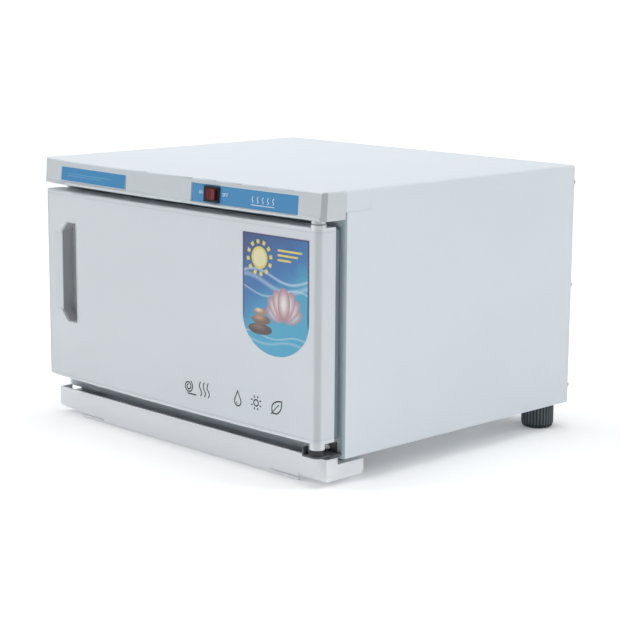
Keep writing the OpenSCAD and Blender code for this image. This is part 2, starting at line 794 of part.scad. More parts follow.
module lamp_tube() {
    cap = 7;
    color([0.85, 0.9, 0.98]) in_case() translate(lamp_axis) rotate([0, 90, 0]) {
        cylinder(r = lamp_r, h = lamp_l - 2 * cap + 1, center = true);
        for (s = [0, 1]) mirror([0, 0, s]) {
            translate([0, 0, lamp_l / 2 - cap]) cylinder(r = lamp_r + 0.2, h = cap);
            for (x = [-2.4, 2.4]) translate([x, 0, lamp_l / 2 - 1]) cylinder(r = 1.1, h = 7, $fn = 24);
        }
    }
}

module lamp_holder(s) {
    x0 = lamp_l / 2 + seat;
    w = 11;
    color([0.93, 0.93, 0.92]) in_case() translate([0, lamp_axis[1], lamp_axis[2]]) mirror([s > 0 ? 0 : 1, 0, 0])
        difference() {
            union() {
                along_x(x0, x0 + w) union() {
                    circle(lamp_r + 1.5);
                    translate([-lamp_r - 1.5, 0]) square([2 * lamp_r + 3, lamp_drop - seat]);
                }
                box([x0, -lamp_r - 1.5, lamp_drop - 4], [x0 + w + 9, lamp_r + 1.5, lamp_drop - seat]);
            }
            for (z = [-2.4, 2.4]) translate([x0 - 1, 0, z]) rotate([0, 90, 0]) cylinder(r = 1.2, h = 8.5, $fn = 24);
        }
}

module lamp_holder_left() { lamp_holder(-1); }

module lamp_holder_right() { lamp_holder(1); }

// Hoops of wire under the lamp, welded to two runners on the ceiling
module lamp_guard() {
    hoop_r = lamp_r + 6;
    leg = lamp_drop - guard_wire_r - seat;
    span = lamp_l - 18;
    color([0.8, 0.8, 0.81]) in_case() translate(lamp_axis) {
        for (k = [0 : guard_hoops - 1]) translate([-span / 2 + k * span / (guard_hoops - 1), 0, 0]) {
            rotate([0, 90, 0]) rotate([0, 0, -90]) rotate_extrude(angle = 180)
                translate([hoop_r, 0]) circle(guard_wire_r, $fn = 24);
            for (s = [-1, 1]) translate([0, s * hoop_r, 0]) cylinder(r = guard_wire_r, h = leg, $fn = 24);
        }
        for (s = [-1, 1]) translate([0, s * hoop_r, leg]) rotate([0, 90, 0])
            cylinder(r = guard_wire_r, h = span + 8, center = true, $fn = 24);
        translate([0, 0, -hoop_r]) rotate([0, 90, 0])
            cylinder(r = guard_wire_r, h = span + 2 * guard_wire_r, center = true, $fn = 24);
    }
}

service_y = insul_back + (case_d - sheet_t - insul_back) / 2;

module lamp_ballast() {
    w = ballast_w / 2;
    l = ballast_l / 2;
    pitch = ballast_l * 0.19;
    color([0.35, 0.37, 0.4]) in_case() translate([-half_w / 2, service_y, deck_z + seat]) difference() {
        union() {
            box([-l - w, -w, 0], [l + w, w, 1.6]);
            box([-l, -w, 0], [l, w, ballast_h]);
            for (k = [-2 : 2]) box([k * pitch - 2, -w - 1.5, 4], [k * pitch + 2, w + 1.5, ballast_h - 4]);
        }
        for (s = [-1, 1]) translate([s * (l + w / 2), 0, -1]) cylinder(r = 2.2, h = 4);
    }
}

module lamp_starter() {
    color([0.9, 0.9, 0.88]) in_case() translate([-half_w / 8, service_y, deck_z + seat]) {
        cylinder(r = starter_r + 2.5, h = starter_h / 4);
        cylinder(r = starter_r, h = starter_h);
        translate([0, 0, starter_h - eps]) cylinder(r1 = starter_r, r2 = starter_r - 2, h = 2);
    }
}

module terminal_block() {
    ways = 4;
    pitch = terminal_w / ways;
    color([0.94, 0.94, 0.92]) in_case() translate([half_w / 3, service_y, deck_z + seat]) difference() {
        union() {
            box([-terminal_w / 2, -10, 0], [terminal_w / 2, 10, 4]);
            for (k = [0 : ways - 1])
                box([(k - ways / 2) * pitch + 1, -8, 0], [(k - ways / 2 + 1) * pitch - 1, 8, 14]);
        }
        for (k = [0 : ways - 1]) translate([(k - ways / 2 + 0.5) * pitch, 0, 0]) {
            translate([0, 0, 7]) rotate([90, 0, 0]) cylinder(r = 2.2, h = 30, center = true);
            for (y = [-4, 4]) translate([0, y, 7]) cylinder(r = 1.8, h = 10);
        }
    }
}

module rack(z) {
    w = chamber_half - rack_gap - frame_wire_r;
    y0 = rack_y0 + frame_wire_r;
    y1 = rack_y1 - frame_wire_r;
    c = rack_corner;
    pitch = 2 * (w - 4) / (wire_count + 1);
    color([0.82, 0.83, 0.84]) in_case() translate([0, 0, z + clear + frame_wire_r]) {
        for (s = [-1, 1]) translate([s * w, y0 + c, 0]) rotate([-90, 0, 0]) cylinder(r = frame_wire_r, h = y1 - y0 - 2 * c);
        for (y = [y0, y1]) translate([-w + c, y, 0]) rotate([0, 90, 0]) cylinder(r = frame_wire_r, h = 2 * (w - c));
        for (q = [[w - c, y1 - c, 0], [-w + c, y1 - c, 90], [-w + c, y0 + c, 180], [w - c, y0 + c, 270]])
            translate([q[0], q[1], 0]) rotate([0, 0, q[2]]) rotate_extrude(angle = 90)
                translate([c, 0]) circle(frame_wire_r);
        for (f = [0.3, 0.7]) translate([-w, y0 + f * (y1 - y0), -wire_r / 2]) rotate([0, 90, 0])
            cylinder(r = wire_r + 0.25, h = 2 * w, $fn = 24);
        for (k = [1 : wire_count]) translate([-w + 4 + k * pitch, y0, wire_r / 2]) rotate([-90, 0, 0])
            cylinder(r = wire_r, h = y1 - y0, $fn = 24);
    }
}

module rack_upper() { rack(chamber_z + ledge_high); }

module rack_lower() { rack(chamber_z + ledge_low); }

module bracket_screw_places() {
    low = bracket_z + bracket_t + screw_head_r + seat;
    high = frame_top - screw_head_r - seat;
    for (z = [low, high]) translate([hinge_x - bracket_screw_x, 0, z]) children();
}

module hinge_bracket_bottom() {
    x0 = hinge_x + 10.5 - bracket_w;
    x1 = hinge_x + 10.5;
    z1 = bracket_z + bracket_t;
    tall = 11.5;
    color([0.3, 0.32, 0.33]) in_case() difference() {
        union() {
            along_z(bracket_z, z1) union() {
                translate([x0, -12]) square([x1 - x0, 12 - seat]);
                translate([x0, hinge_y - column_r]) square([hinge_x - x0, column_r - hinge_y - seat]);
                translate([hinge_x, hinge_y]) circle(column_r);
                translate([hinge_x, hinge_y]) square([column_r, -hinge_y - seat]);
            }
            box([x0, -bracket_t, bracket_z], [hinge_x + 4.4, -seat, bracket_z + tall]);
            box([x0, hinge_y - column_r, bracket_z], [x0 + bracket_t, hinge_y - 1, bracket_z + tall - 2]);
        }
        translate([hinge_x, hinge_y, 0]) cylinder(r = pin_r - 0.5 + pin_gap, h = 20, center = true);
        bracket_screw_places() rotate([90, 0, 0]) cylinder(r = screw_r + seat, h = 12, center = true);
    }
}

module hinge_bracket_top() {
    z0 = top_plate_z;
    top = frame_top + 3;
    color([0.3, 0.32, 0.33]) in_case() difference() {
        union() {
            along_z(z0, z0 + bracket_t) union() {
                translate([hinge_x - 12, -10]) square([19, 10 - seat]);
                translate([hinge_x, hinge_y]) circle(pin_r + 1.5);
                translate([hinge_x - pin_r - 1.5, hinge_y]) square([2 * pin_r + 3, -hinge_y - seat]);
            }
            box([hinge_x - 12, -bracket_t, z0], [hinge_x + 7, -seat, top]);
        }
        translate([hinge_x, hinge_y, header_z]) cylinder(r = pin_r - 0.5 + pin_gap, h = 20);
        bracket_screw_places() rotate([90, 0, 0]) cylinder(r = screw_r + seat, h = 12, center = true);
    }
}

// Pins are shouldered: the thin end is riveted in the bracket's plate
module hinge_pin_bottom() {
    z1 = bracket_z + bracket_t;
    color([0.7, 0.71, 0.72]) in_case() translate([hinge_x, hinge_y, 0]) {
        translate([0, 0, bracket_z]) cylinder(r = pin_r - 0.5, h = bracket_t + 1);
        translate([0, 0, z1 + seat]) cylinder(r = pin_r, h = door_z - column_down + pin_depth - z1 - seat - 0.6);
        translate([0, 0, door_z - column_down + pin_depth - 0.6 - eps]) cylinder(r1 = pin_r, r2 = pin_r - 0.6, h = 0.6);
    }
}

module hinge_pin_top() {
    z0 = top_plate_z;
    low = door_top + column_up - pin_depth;
    color([0.7, 0.71, 0.72]) in_case() translate([hinge_x, hinge_y, 0]) {
        translate([0, 0, z0 - 1]) cylinder(r = pin_r - 0.5, h = bracket_t + 1);
        translate([0, 0, low + 0.6]) cylinder(r = pin_r, h = z0 - seat - low - 0.6);
        translate([0, 0, low]) cylinder(r1 = pin_r - 0.6, r2 = pin_r, h = 0.6 + eps);
    }
}

module bracket_screws() {
    color([0.7, 0.71, 0.72]) in_case() bracket_screw_places()
        translate([0, -bracket_t - seat, 0]) screw(bracket_screw_l);
}

bush_flange = 0.3;
bush_r = pin_r + pin_gap + bush_t;
bush_l = pin_depth + 1;
bush_low = bracket_z + bracket_t + clear;

// Flanged bush in the end of the door's column; it also spaces the door from the lower bracket
module hinge_bush_bottom() {
    z0 = door_z - column_down;
    color([0.12, 0.12, 0.13]) in_case() translate([hinge_x, hinge_y, 0]) difference() {
        union() {
            translate([0, 0, z0 - seat]) cylinder(r = bush_r, h = bush_l);
            translate([0, 0, bush_low]) cylinder(r = column_r - 1, h = z0 - seat - bush_low);
        }
        cylinder(r = pin_r + pin_gap, h = 100);
    }
}

module hinge_bush_top() {
    z1 = door_top + column_up;
    color([0.12, 0.12, 0.13]) in_case() translate([hinge_x, hinge_y, z1]) difference() {
        union() {
            translate([0, 0, seat - bush_l]) cylinder(r = bush_r, h = bush_l);
            translate([0, 0, seat]) cylinder(r = column_r - 1.2, h = bush_flange);
        }
        translate([0, 0, -50]) cylinder(r = pin_r + pin_gap, h = 100);
    }
}

// Plan of the door: hinge column on the right, small radius on the left
module door_plan(inset) {
    r = max(door_corner_r - inset, 0.5);
    back = -door_back;
    left = -door_half + inset;
    right = door_half - inset;
    corner = -(door_apex - bow_drop(door_half - door_corner_r, door_bow_r)) + door_corner_r;
    translate([left + r, -60]) square([hinge_x - left - r, 60 + back]);
    translate([left, corner]) square([hinge_x - left, back - corner]);
    translate([left + r, corner]) circle(r);
    translate([left + r, hinge_y]) square([right - left - r, back - hinge_y]);
    translate([hinge_x, hinge_y]) circle(column_r - inset);
}

// Bowed slab from a depth behind the door's face, with rounded front edges
module door_slab(inset, back, r) {
    bowed(door_bow_r, door_apex) difference() {
        round_rect([back - 30, door_z + inset], [door_apex - inset, door_top - inset], r);
        translate([back - 60, 0]) square([60, case_h]);
    }
}

// The handle slot's outline, its left corners cut off, seen from the front
module slot_outline(grow) {
    x0 = -door_half + slot_x - grow;
    x1 = -door_half + slot_x + slot_w + grow;
    mid = (door_z + door_top) / 2 + slot_z;
    z0 = mid - slot_h / 2 - grow;
    z1 = mid + slot_h / 2 + grow;
    polygon([[x1, z0], [x1, z1], [x0 + slot_cut * 0.95, z1], [x0, z1 - slot_cut], [x0, z0 + slot_cut],
             [x0 + slot_cut * 0.95, z0]]);
}

module door_shell() {
    rim = door_wall;
    slot_left = -door_half + slot_x;
    mid = (door_z + door_top) / 2 + slot_z;
    face = door_apex - bow_drop(-slot_left, door_bow_r);
    color([0.83, 0.85, 0.89]) in_case() difference() {
        union() {
            intersection() {
                door_slab(0, 0, door_edge_r);
                along_z(0, case_h) door_plan(0);
            }
            translate([hinge_x, hinge_y, door_z - column_down])
                cylinder(r = column_r, h = door_top + column_up - door_z + column_down);
            // Raised rim round the handle slot
            intersection() {
                bowed(door_bow_r, door_apex)
                    translate([door_apex - 1, 0]) square([1 + slot_rim, case_h]);
                along_y(-60, 0) slot_outline(3 * slot_rim);
            }
        }
        // Hollow behind the skin, left of the hinge stile
        intersection() {
            door_slab(rim, 0, 1);
            box([-door_half + rim, -60, 0], [stile_x, 1, case_h]);
        }
        // Hollow of the stile between the two hinge ends
        box([stile_x + 2, hinge_y + 1, door_z + 30], [door_half - rim, 1, door_top - 30]);
        for (z = [door_z - column_down - 1, door_top + column_up - bush_l - 0.5])
            translate([hinge_x, hinge_y, z]) cylinder(r = bush_r + seat / 2, h = bush_l + 1.5);
        along_y(-60, 0) slot_outline(0);
        // Finger scoop that runs into the slot's left side
        along_z(mid - slot_h / 2 + slot_cut, mid + slot_h / 2 - slot_cut)
            polygon([[slot_left - scoop_w, -face - 3], [slot_left - scoop_w, -face + 0.25],
                     [slot_left + 1, -face + scoop_d], [slot_left + 1, -face - 3]]);
    }
}

module handle_cup() {
    front = door_apex - door_wall - seat;
    color([0.27, 0.28, 0.3]) in_case() difference() {
        intersection() {
            bowed(door_bow_r, door_apex)
                translate([front - cup_d, 0]) square([cup_d, case_h]);
            along_y(-60, 0) slot_outline(cup_grow + cup_wall);
        }
        intersection() {
            bowed(door_bow_r, door_apex)
                translate([front - cup_d + cup_wall, 0]) square([cup_d + 5, case_h]);
            along_y(-60, 0) slot_outline(cup_grow);
        }
    }
}

module door_core() {
    gap = clear;
    color([0.95, 0.95, 0.96]) in_case() difference() {
        intersection() {
            door_slab(door_wall + gap, 0, 1);
            box([-door_half + door_wall + gap, -60, 0], [stile_x - gap, -door_back - liner_plate - gap, case_h]);
        }
        along_y(-60, cup_back + gap) slot_outline(cup_grow + cup_wall + gap);
        door_screw_places() rotate([90, 0, 0]) cylinder(r = screw_r + 1, h = 80, center = true);
    }
}

cup_wall = 1.5;
cup_grow = 1;
cup_back = cup_d + door_wall + seat - door_apex + bow_drop(door_half - slot_x, door_bow_r);

module door_screw_places() {
    inset = field_in + 4 * screw_head_r;
    for (s = [-1, 1], z = [door_z + inset, door_top - inset]) translate([s * (door_half - inset), 0, z]) children();
}

// Inner panel of the door: a flat rim under the gasket and a raised field inside it
module door_liner() {
    x1 = stile_x - seat;
    color([0.9, 0.91, 0.92]) in_case() difference() {
        union() {
            box([-door_half + door_wall + seat, -door_back - liner_plate, door_z + door_wall + seat],
                [x1, -door_back, door_top - door_wall - seat]);
            along_y(-door_back - liner_plate, -door_back + field_rise)
                round_rect([-door_half + field_in, door_z + field_in], [door_half - field_in, door_top - field_in], 8);
        }
        along_y(-door_back - liner_plate - 1, -door_back + field_rise - liner_plate)
            round_rect([-door_half + field_in + liner_plate, door_z + field_in + liner_plate],
                       [door_half - field_in - liner_plate, door_top - field_in - liner_plate], 6.4);
        door_screw_places() rotate([90, 0, 0]) cylinder(r = screw_r + seat, h = 80, center = true);
    }
}

module door_screws() {
    color([0.72, 0.73, 0.74]) in_case() door_screw_places()
        translate([0, -door_back + field_rise + seat, 0]) rotate([0, 0, 180]) screw(door_screw_l);
}

// A rectangular ring on the door's back, from one inset to another
module ring(y0, y1, in0, in1) {
    along_y(y0, y1) difference() {
        round_rect([-door_half + in0, door_z + in0], [door_half - in0, door_top - in0], 4);
        round_rect([-door_half + in1, door_z + in1], [door_half - in1, door_top - in1], 2);
    }
}

bulb_t = 2.6;
bulb_0 = gasket_x + bulb_in;
gasket_wall_t = 1.2;
gasket_wall_y = hinge_y + sqrt(hinge_y * hinge_y - pow(column_r - gasket_x, 2)) - clear;

// Magnetic gasket: flat base, narrow bellows and sealing bulb
module door_gasket() {
    y0 = -door_back + seat;
    color([0.3, 0.33, 0.37]) in_case() difference() {
        union() {
            ring(y0, y0 + 2, gasket_x, gasket_x + gasket_w);
            ring(y0 + 1, gasket_wall_y, gasket_x, gasket_x + gasket_wall_t);
            ring(y0 + 1, -seal_gap - 1, bulb_0 + 2, bulb_0 + bulb_w - 2);
            ring(-seal_gap - bulb_t, -seal_gap, bulb_0, bulb_0 + bulb_w);
        }
        ring(-seal_gap - bulb_t + 0.5, -seal_gap - 0.5, bulb_0 + 1.6, bulb_0 + bulb_w - 1.6);
    }
}

module gasket_magnet() {
    color([0.2, 0.2, 0.2]) in_case()
        ring(-seal_gap - bulb_t + 0.5 + seat, -seal_gap - 0.5 - seat, bulb_0 + 1.6 + seat, bulb_0 + bulb_w - 1.6 - seat);
}

module door_decal() {
    right = door_half - decal_x;
    low = door_top - decal_z - decal_h;
    chord = decal_w / 2 - 0.3;
    arc_r = (chord * chord + decal_round * decal_round) / (2 * decal_round);
    color([0.25, 0.45, 0.72]) in_case() intersection() {
        bowed(door_bow_r, door_apex)
            translate([door_apex + 0.05, 0]) square([decal_t, case_h]);
        along_y(-60, 0) {
            translate([right - decal_w, low + decal_round]) square([decal_w, decal_h - decal_round]);
            intersection() {
                translate([right - decal_w / 2, low + arc_r]) circle(arc_r, $fn = 96);
                translate([right - decal_w, low - 5]) square([decal_w, decal_round + 5.1]);
            }
        }
    }
}

// The tray's trough in side view, from one inset to another
module tray_side(inset) {
    r = max(tray_edge_r - inset, 1);
    difference() {
        round_rect([-tray_reach + inset, -tray_low + inset], [tray_behind - inset, 40], r);
        translate([-60, tray_rim]) square([200, 60]);
        translate([-1.5, -6]) square([200, 60]);
    }
}

module tray_face(inset) {
    r = max(tray_edge_r - inset, 1);
    round_rect([-tray_half + inset, -tray_low + inset], [tray_half - inset, 40], r);
}

module drip_tray() {
    in = tray_wall;
    slot_out = tray_half - 40;
    slot_len = 42;
    ledge_in = 9;
    color([0.87, 0.88, 0.91]) in_case() difference() {
        union() {
            intersection() {
                along_x(-tray_half, tray_half) tray_side(0);
                along_y(-tray_reach, tray_behind) tray_face(0);
            }
            box([-slot_out, -tray_reach, -skirt_low], [slot_out, -tray_reach + in, -tray_low + tray_edge_r]);
        }
        difference() {
            intersection() {
                along_x(-tray_half + in, tray_half - in) difference() {
                    round_rect([-tray_reach + in, -tray_low + in], [tray_behind - in, 60], max(tray_edge_r - 3, 1));
                    translate([-60, 50]) square([200, 60]);
                }
                along_y(-tray_reach + in, tray_behind - in) tray_face(in);
            }
            // Ledges along the side walls, by which the tray hangs on its rails
            for (s = [-1, 1]) box([s > 0 ? tray_half - ledge_in : -tray_half, 0, rail_z + clear + rail_t],
                                  [s > 0 ? tray_half : -tray_half + ledge_in, tray_behind, -6]);
        }
        // Low back wall that passes under the rails
        box([-tray_half + in, tray_behind - in - 1, rail_z - 2], [tray_half - in, tray_behind + 1, 0]);
        for (s = [-1, 1]) box([s > 0 ? slot_out - slot_len : -slot_out - 1, -tray_reach - 1, -tray_low - 1],
                              [s > 0 ? slot_out + 1 : -slot_out + slot_len, -tray_reach + in + 1, -tray_low]);
    }
}

// Two bent rails under the base pan, each with a lip below the tray's ledge
module tray_rails() {
    top = sheet_t;
    x_in = tray_half - 16;
    x_lip = tray_half - tray_wall - 1;
    color([0.7, 0.72, 0.74]) in_case() for (s = [-1, 1]) mirror([s > 0 ? 0 : 1, 0, 0]) along_y(2, tray_behind - 1) union() {
        translate([x_in - 12, top - rail_t]) square([12 + rail_t, rail_t]);
        translate([x_in, rail_z]) square([rail_t, top - rail_z]);
        translate([x_in, rail_z]) square([x_lip - x_in, rail_t]);
    }
}

module cord_inlet() {
    color([0.1, 0.1, 0.11]) in_case() translate(inlet_place) rotate([-90, 0, 0]) difference() {
        union() {
            translate([0, 0, sheet_t + seat])
                cylinder(r1 = inlet_r + inlet_wall + 2.5, r2 = inlet_r + inlet_wall, h = inlet_reach - 2 * seat);
            translate([0, 0, -inlet_in]) cylinder(r = inlet_r + inlet_wall, h = inlet_in + sheet_t + 1);
            translate([0, 0, -inlet_in]) cylinder(r = inlet_r + inlet_wall + 1.2, h = inlet_in - 2 * sheet_t);
        }
        translate([0, 0, -20]) cylinder(r = inlet_r, h = 60);
    }
}

outer_wrap();
back_panel();
back_screws();
base_pan();
feet();
foot_screws();
front_frame();
header_fascia();
header_screws();
label_left();
label_right();
switch_housing();
rocker_button();
chamber_liner();
insulation();
chamber_supports();
heater_plate();
thermostat();
thermal_cutoff();
lamp_tube();
lamp_holder_left();
lamp_holder_right();
lamp_guard();
lamp_ballast();
lamp_starter();
terminal_block();
rack_upper();
rack_lower();
hinge_bracket_top();
hinge_bracket_bottom();
hinge_pin_top();
hinge_pin_bottom();
bracket_screws();
door_shell();
door_liner();
door_core();
door_gasket();
gasket_magnet();
handle_cup();
door_decal();
door_screws();
hinge_bush_top();
hinge_bush_bottom();
drip_tray();
tray_rails();
cord_inlet();
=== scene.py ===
import math

import bmesh
import bpy
from mathutils import Matrix, Vector
from mathutils.bvhtree import BVHTree


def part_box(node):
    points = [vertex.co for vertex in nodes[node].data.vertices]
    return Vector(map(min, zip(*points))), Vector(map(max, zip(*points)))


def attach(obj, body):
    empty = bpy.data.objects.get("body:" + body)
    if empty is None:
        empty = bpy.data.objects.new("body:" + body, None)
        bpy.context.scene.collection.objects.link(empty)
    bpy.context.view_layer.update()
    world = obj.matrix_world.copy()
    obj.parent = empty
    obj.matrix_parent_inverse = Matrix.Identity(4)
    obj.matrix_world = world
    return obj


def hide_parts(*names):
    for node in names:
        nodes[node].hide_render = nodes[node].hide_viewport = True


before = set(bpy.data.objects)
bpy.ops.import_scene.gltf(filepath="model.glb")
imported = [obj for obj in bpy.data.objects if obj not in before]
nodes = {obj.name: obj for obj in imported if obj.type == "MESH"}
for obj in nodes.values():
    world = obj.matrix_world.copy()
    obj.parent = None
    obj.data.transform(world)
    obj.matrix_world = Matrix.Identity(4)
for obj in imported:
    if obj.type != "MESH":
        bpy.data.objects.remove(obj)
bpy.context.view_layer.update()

scene = bpy.context.scene
mm = 0.001
print("stage: frame loaded,", len(nodes), "CAD nodes")


# shader writing: sockets that can be added and multiplied

class Wire:
    # one output socket of a finish; sums and products on it add Math nodes
    def __init__(self, finish, socket):
        self.finish = finish
        self.socket = socket

    def maths(self, kind, other=None):
        return self.finish.maths(kind, self, other)

    def __add__(self, other):
        return self.finish.maths("ADD", self, other)

    def __sub__(self, other):
        return self.finish.maths("SUBTRACT", self, other)

    def __rsub__(self, other):
        return self.finish.maths("SUBTRACT", other, self)

    def __mul__(self, other):
        return self.finish.maths("MULTIPLY", self, other)

    def __truediv__(self, other):
        return self.finish.maths("DIVIDE", self, other)

    __radd__ = __add__
    __rmul__ = __mul__

    def ease(self, low, high):
        # 0 below low, 1 above high, smooth between; low may be above high
        return self.finish.node("ShaderNodeMapRange", {"interpolation_type": "SMOOTHSTEP"},
                                {"Value": self, "From Min": low, "From Max": high})


class Finish:
    # one material: a Principled shader and short ways to feed it
    def __init__(self, name, colour, rough, **fixed):
        self.material = bpy.data.materials.new(name)
        self.material.use_nodes = True
        self.material.diffuse_color = rgba(colour)
        self.tree = self.material.node_tree
        self.tree.nodes.clear()
        out = self.tree.nodes.new("ShaderNodeOutputMaterial")
        self.shader = self.tree.nodes.new("ShaderNodeBsdfPrincipled")
        self.tree.links.new(self.shader.outputs[0], out.inputs[0])
        self.feed({"Base Color": colour, "Roughness": rough})
        self.feed({key.replace("_", " "): value for key, value in fixed.items()})

    def feed(self, values):
        for key, value in values.items():
            self.plug(self.shader.inputs[key], value)

    def plug(self, slot, value):
        if isinstance(value, Wire):
            self.tree.links.new(value.socket, slot)
        elif slot.type == "RGBA":
            slot.default_value = rgba(value)
        else:
            slot.default_value = value

    def node(self, kind, settings=None, values=None, result=0):
        # a node of any kind: its settings first, then numbers, colours or wires for its sockets
        made = self.tree.nodes.new(kind)
        for key, value in (settings or {}).items():
            setattr(made, key, value)
        for key, value in (values or {}).items():
            if value is not None:
                self.plug(made.inputs[key], value)
        return Wire(self, made.outputs[result])

    def maths(self, kind, a, b=None):
        return self.node("ShaderNodeMath", {"operation": kind}, {0: a, 1: b})

    def spot(self, size=(1, 1, 1)):
        # the point on the piece, in metres, stretched along the axes
        here = self.node("ShaderNodeTexCoord", result="Object")
        return self.node("ShaderNodeMapping", None, {"Vector": here, "Scale": size})

    def split(self, vector, names):
        # the named parts of a vector, such as "XZ"
        parts = self.node("ShaderNodeSeparateXYZ", None, {0: vector}).socket.node.outputs
        return [Wire(self, parts[name]) for name in names]

    def place(self, names):
        # where the point lies along the named axes, in metres
        return self.split(self.spot(), names)

    def corner(self):
        # 1 where the face turns half way between the piece's front and a side; the mask for painted corner
        # shade
        across, along = self.split(self.node("ShaderNodeTexCoord", result="Normal"), "XY")
        return (across * along).maths("ABSOLUTE").ease(0.12, 0.45)

    def noise(self, scale, detail=2.0, rough=0.5, size=(1, 1, 1)):
        values = {"Vector": self.spot(size), "Scale": scale, "Detail": detail, "Roughness": rough}
        return self.node("ShaderNodeTexNoise", None, values)

    def mix(self, share, a, b):
        return self.node("ShaderNodeMix", {"data_type": "RGBA"}, {0: share, 6: a, 7: b}, 2)

    def relief(self, height, depth, strength, soften=0.0):
        # bump whose height is 0 to 1 over depth metres, on edges softened by a small radius
        values = {"Height": height, "Distance": depth, "Strength": strength}
        if soften:
            values["Normal"] = self.node("ShaderNodeBevel", {"samples": 6}, {"Radius": soften})
        self.feed({"Normal": self.node("ShaderNodeBump", None, values)})


def rgba(colour):
    return tuple(colour) if len(colour) == 4 else (*colour, 1.0)


def shade(colour, k):
    return tuple(min(1.0, c * k) for c in colour)


def wear(material, *names):
    # puts a finish on CAD nodes
    for name in names:
        for slot in nodes[name].material_slots:
            slot.material = material
    return material


# view, light and floor

view = {
    "place": (1.41064, -1.36242, 0.49696), "yaw": 45.795, "pitch": 10.699, "roll": 0.348,
    "lens": 102.68, "sensor": 36, "near": 0.05, "far": 400,
}


def setCamera():
    yaw, pitch, roll = (math.radians(view[k]) for k in ("yaw", "pitch", "roll"))
    forward = Vector((-math.sin(yaw) * math.cos(pitch), math.cos(yaw) * math.cos(pitch), -math.sin(pitch)))
    level = Vector((math.cos(yaw), math.sin(yaw), 0))
    rise = level.cross(forward)
    right = level * math.cos(roll) + rise * math.sin(roll)
    up = rise * math.cos(roll) - level * math.sin(roll)
    data = bpy.data.cameras.new("photoView")
    data.lens = view["lens"]
    data.sensor_width = view["sensor"]
    data.clip_start = view["near"]
    data.clip_end = view["far"]
    camera = bpy.data.objects.new("photoView", data)
    scene.collection.objects.link(camera)
    camera.matrix_world = Matrix((right, up, -forward)).transposed().to_4x4()
    camera.location = view["place"]
    scene.camera = camera


studio = {
    "sky": 0.05,
    "skyTint": (0.97, 0.985, 1.0),
    "backdrop": (1, 1, 1),
    "suns": [  # name, direction towards the light, power, spread in degrees
        ("overhead", (0.02, 0, 1), 1.75, 50),
        ("leftFront", (-0.56, -0.54, 0.64), 0.88, 28),
        ("rightBack", (0.56, 0.52, 0.64), 0.90, 28),
        ("behind", (-0.69, 0.69, 0.2), 0.11, 30),
    ],
    # hangs above the case, a little to its left
    "softbox": {"place": (-0.36, 0.04, 1.15), "aim": (-0.1, 0, 0.29), "side": 0.7, "power": 1.8},
    "floorSide": 160.0,
    "floorTint": (0.98, 0.985, 0.99),
    "floorCloud": 1.5,
    "floorGlow": 0.15,  # lifts the far shadow and the object's lower edges
}


def hangLight(name, kind, towards, **values):
    data = bpy.data.lights.new(name, kind)
    for key, value in values.items():
        setattr(data, key, value)
    light = bpy.data.objects.new(name, data)
    scene.collection.objects.link(light)
    light.rotation_euler = Vector(towards).to_track_quat("Z", "Y").to_euler()
    return light


def setWorld():
    # the camera sees a white backdrop, and the object is lit by a dim sky
    world = bpy.data.worlds.new("paleRoom")
    world.use_nodes = True
    room = world.node_tree
    sky = room.nodes["Background"]
    sky.inputs[0].default_value = rgba(studio["skyTint"])
    sky.inputs[1].default_value = studio["sky"]
    backdrop = room.nodes.new("ShaderNodeBackground")
    backdrop.inputs[0].default_value = rgba(studio["backdrop"])
    choice = room.nodes.new("ShaderNodeMixShader")
    room.links.new(room.nodes.new("ShaderNodeLightPath").outputs["Is Camera Ray"], choice.inputs[0])
    room.links.new(sky.outputs[0], choice.inputs[1])
    room.links.new(backdrop.outputs[0], choice.inputs[2])
    room.links.new(choice.outputs[0], room.nodes["World Output"].inputs[0])
    scene.world = world


def setFloor():
    half, tint = studio["floorSide"] / 2, studio["floorTint"]
    mesh = bpy.data.meshes.new("floor")
    places = [(-half, -half, 0), (half, -half, 0), (half, half, 0), (-half, half, 0)]
    mesh.from_pydata(places, [], [(0, 1, 2, 3)])
    floor = bpy.data.objects.new("floor", mesh)
    scene.collection.objects.link(floor)
    paper = Finish("studioPaper", tint, 0.9, Emission_Color=tint, Emission_Strength=studio["floorGlow"])
    cloud = paper.noise(studio["floorCloud"])
    paper.feed({"Base Color": paper.mix(cloud * 0.5, tint, shade(tint, 0.99))})
    mesh.materials.append(paper.material)


setCamera()
setWorld()
for name, towards, power, spread in studio["suns"]:
    hangLight(name, "SUN", towards, energy=power, angle=math.radians(spread))
softbox = studio["softbox"]
hangLight("softbox", "AREA", Vector(softbox["place"]) - Vector(softbox["aim"]),
          size=softbox["side"], energy=softbox["power"]).location = softbox["place"]
setFloor()
scene.view_settings.view_transform = "Standard"
print("stage: camera, light and floor")


# painted sheet, moulded plastic, metal and rubber

paint = {
    "tint": (0.785, 0.845, 0.90), "rough": 0.42, "edge": 0.6 * mm, "worn": (0.45, 0.47, 0.5),
    "peel": 620.0, "peelDepth": 0.03 * mm, "waveShare": 22.0,
    # painted shade: the folded edge beside the hinge is painted greyer, where the door shades it
    "hingeShadeStrip": {"from": -0.1592, "to": -0.1604, "tint": (0.41, 0.50, 0.55)},
}


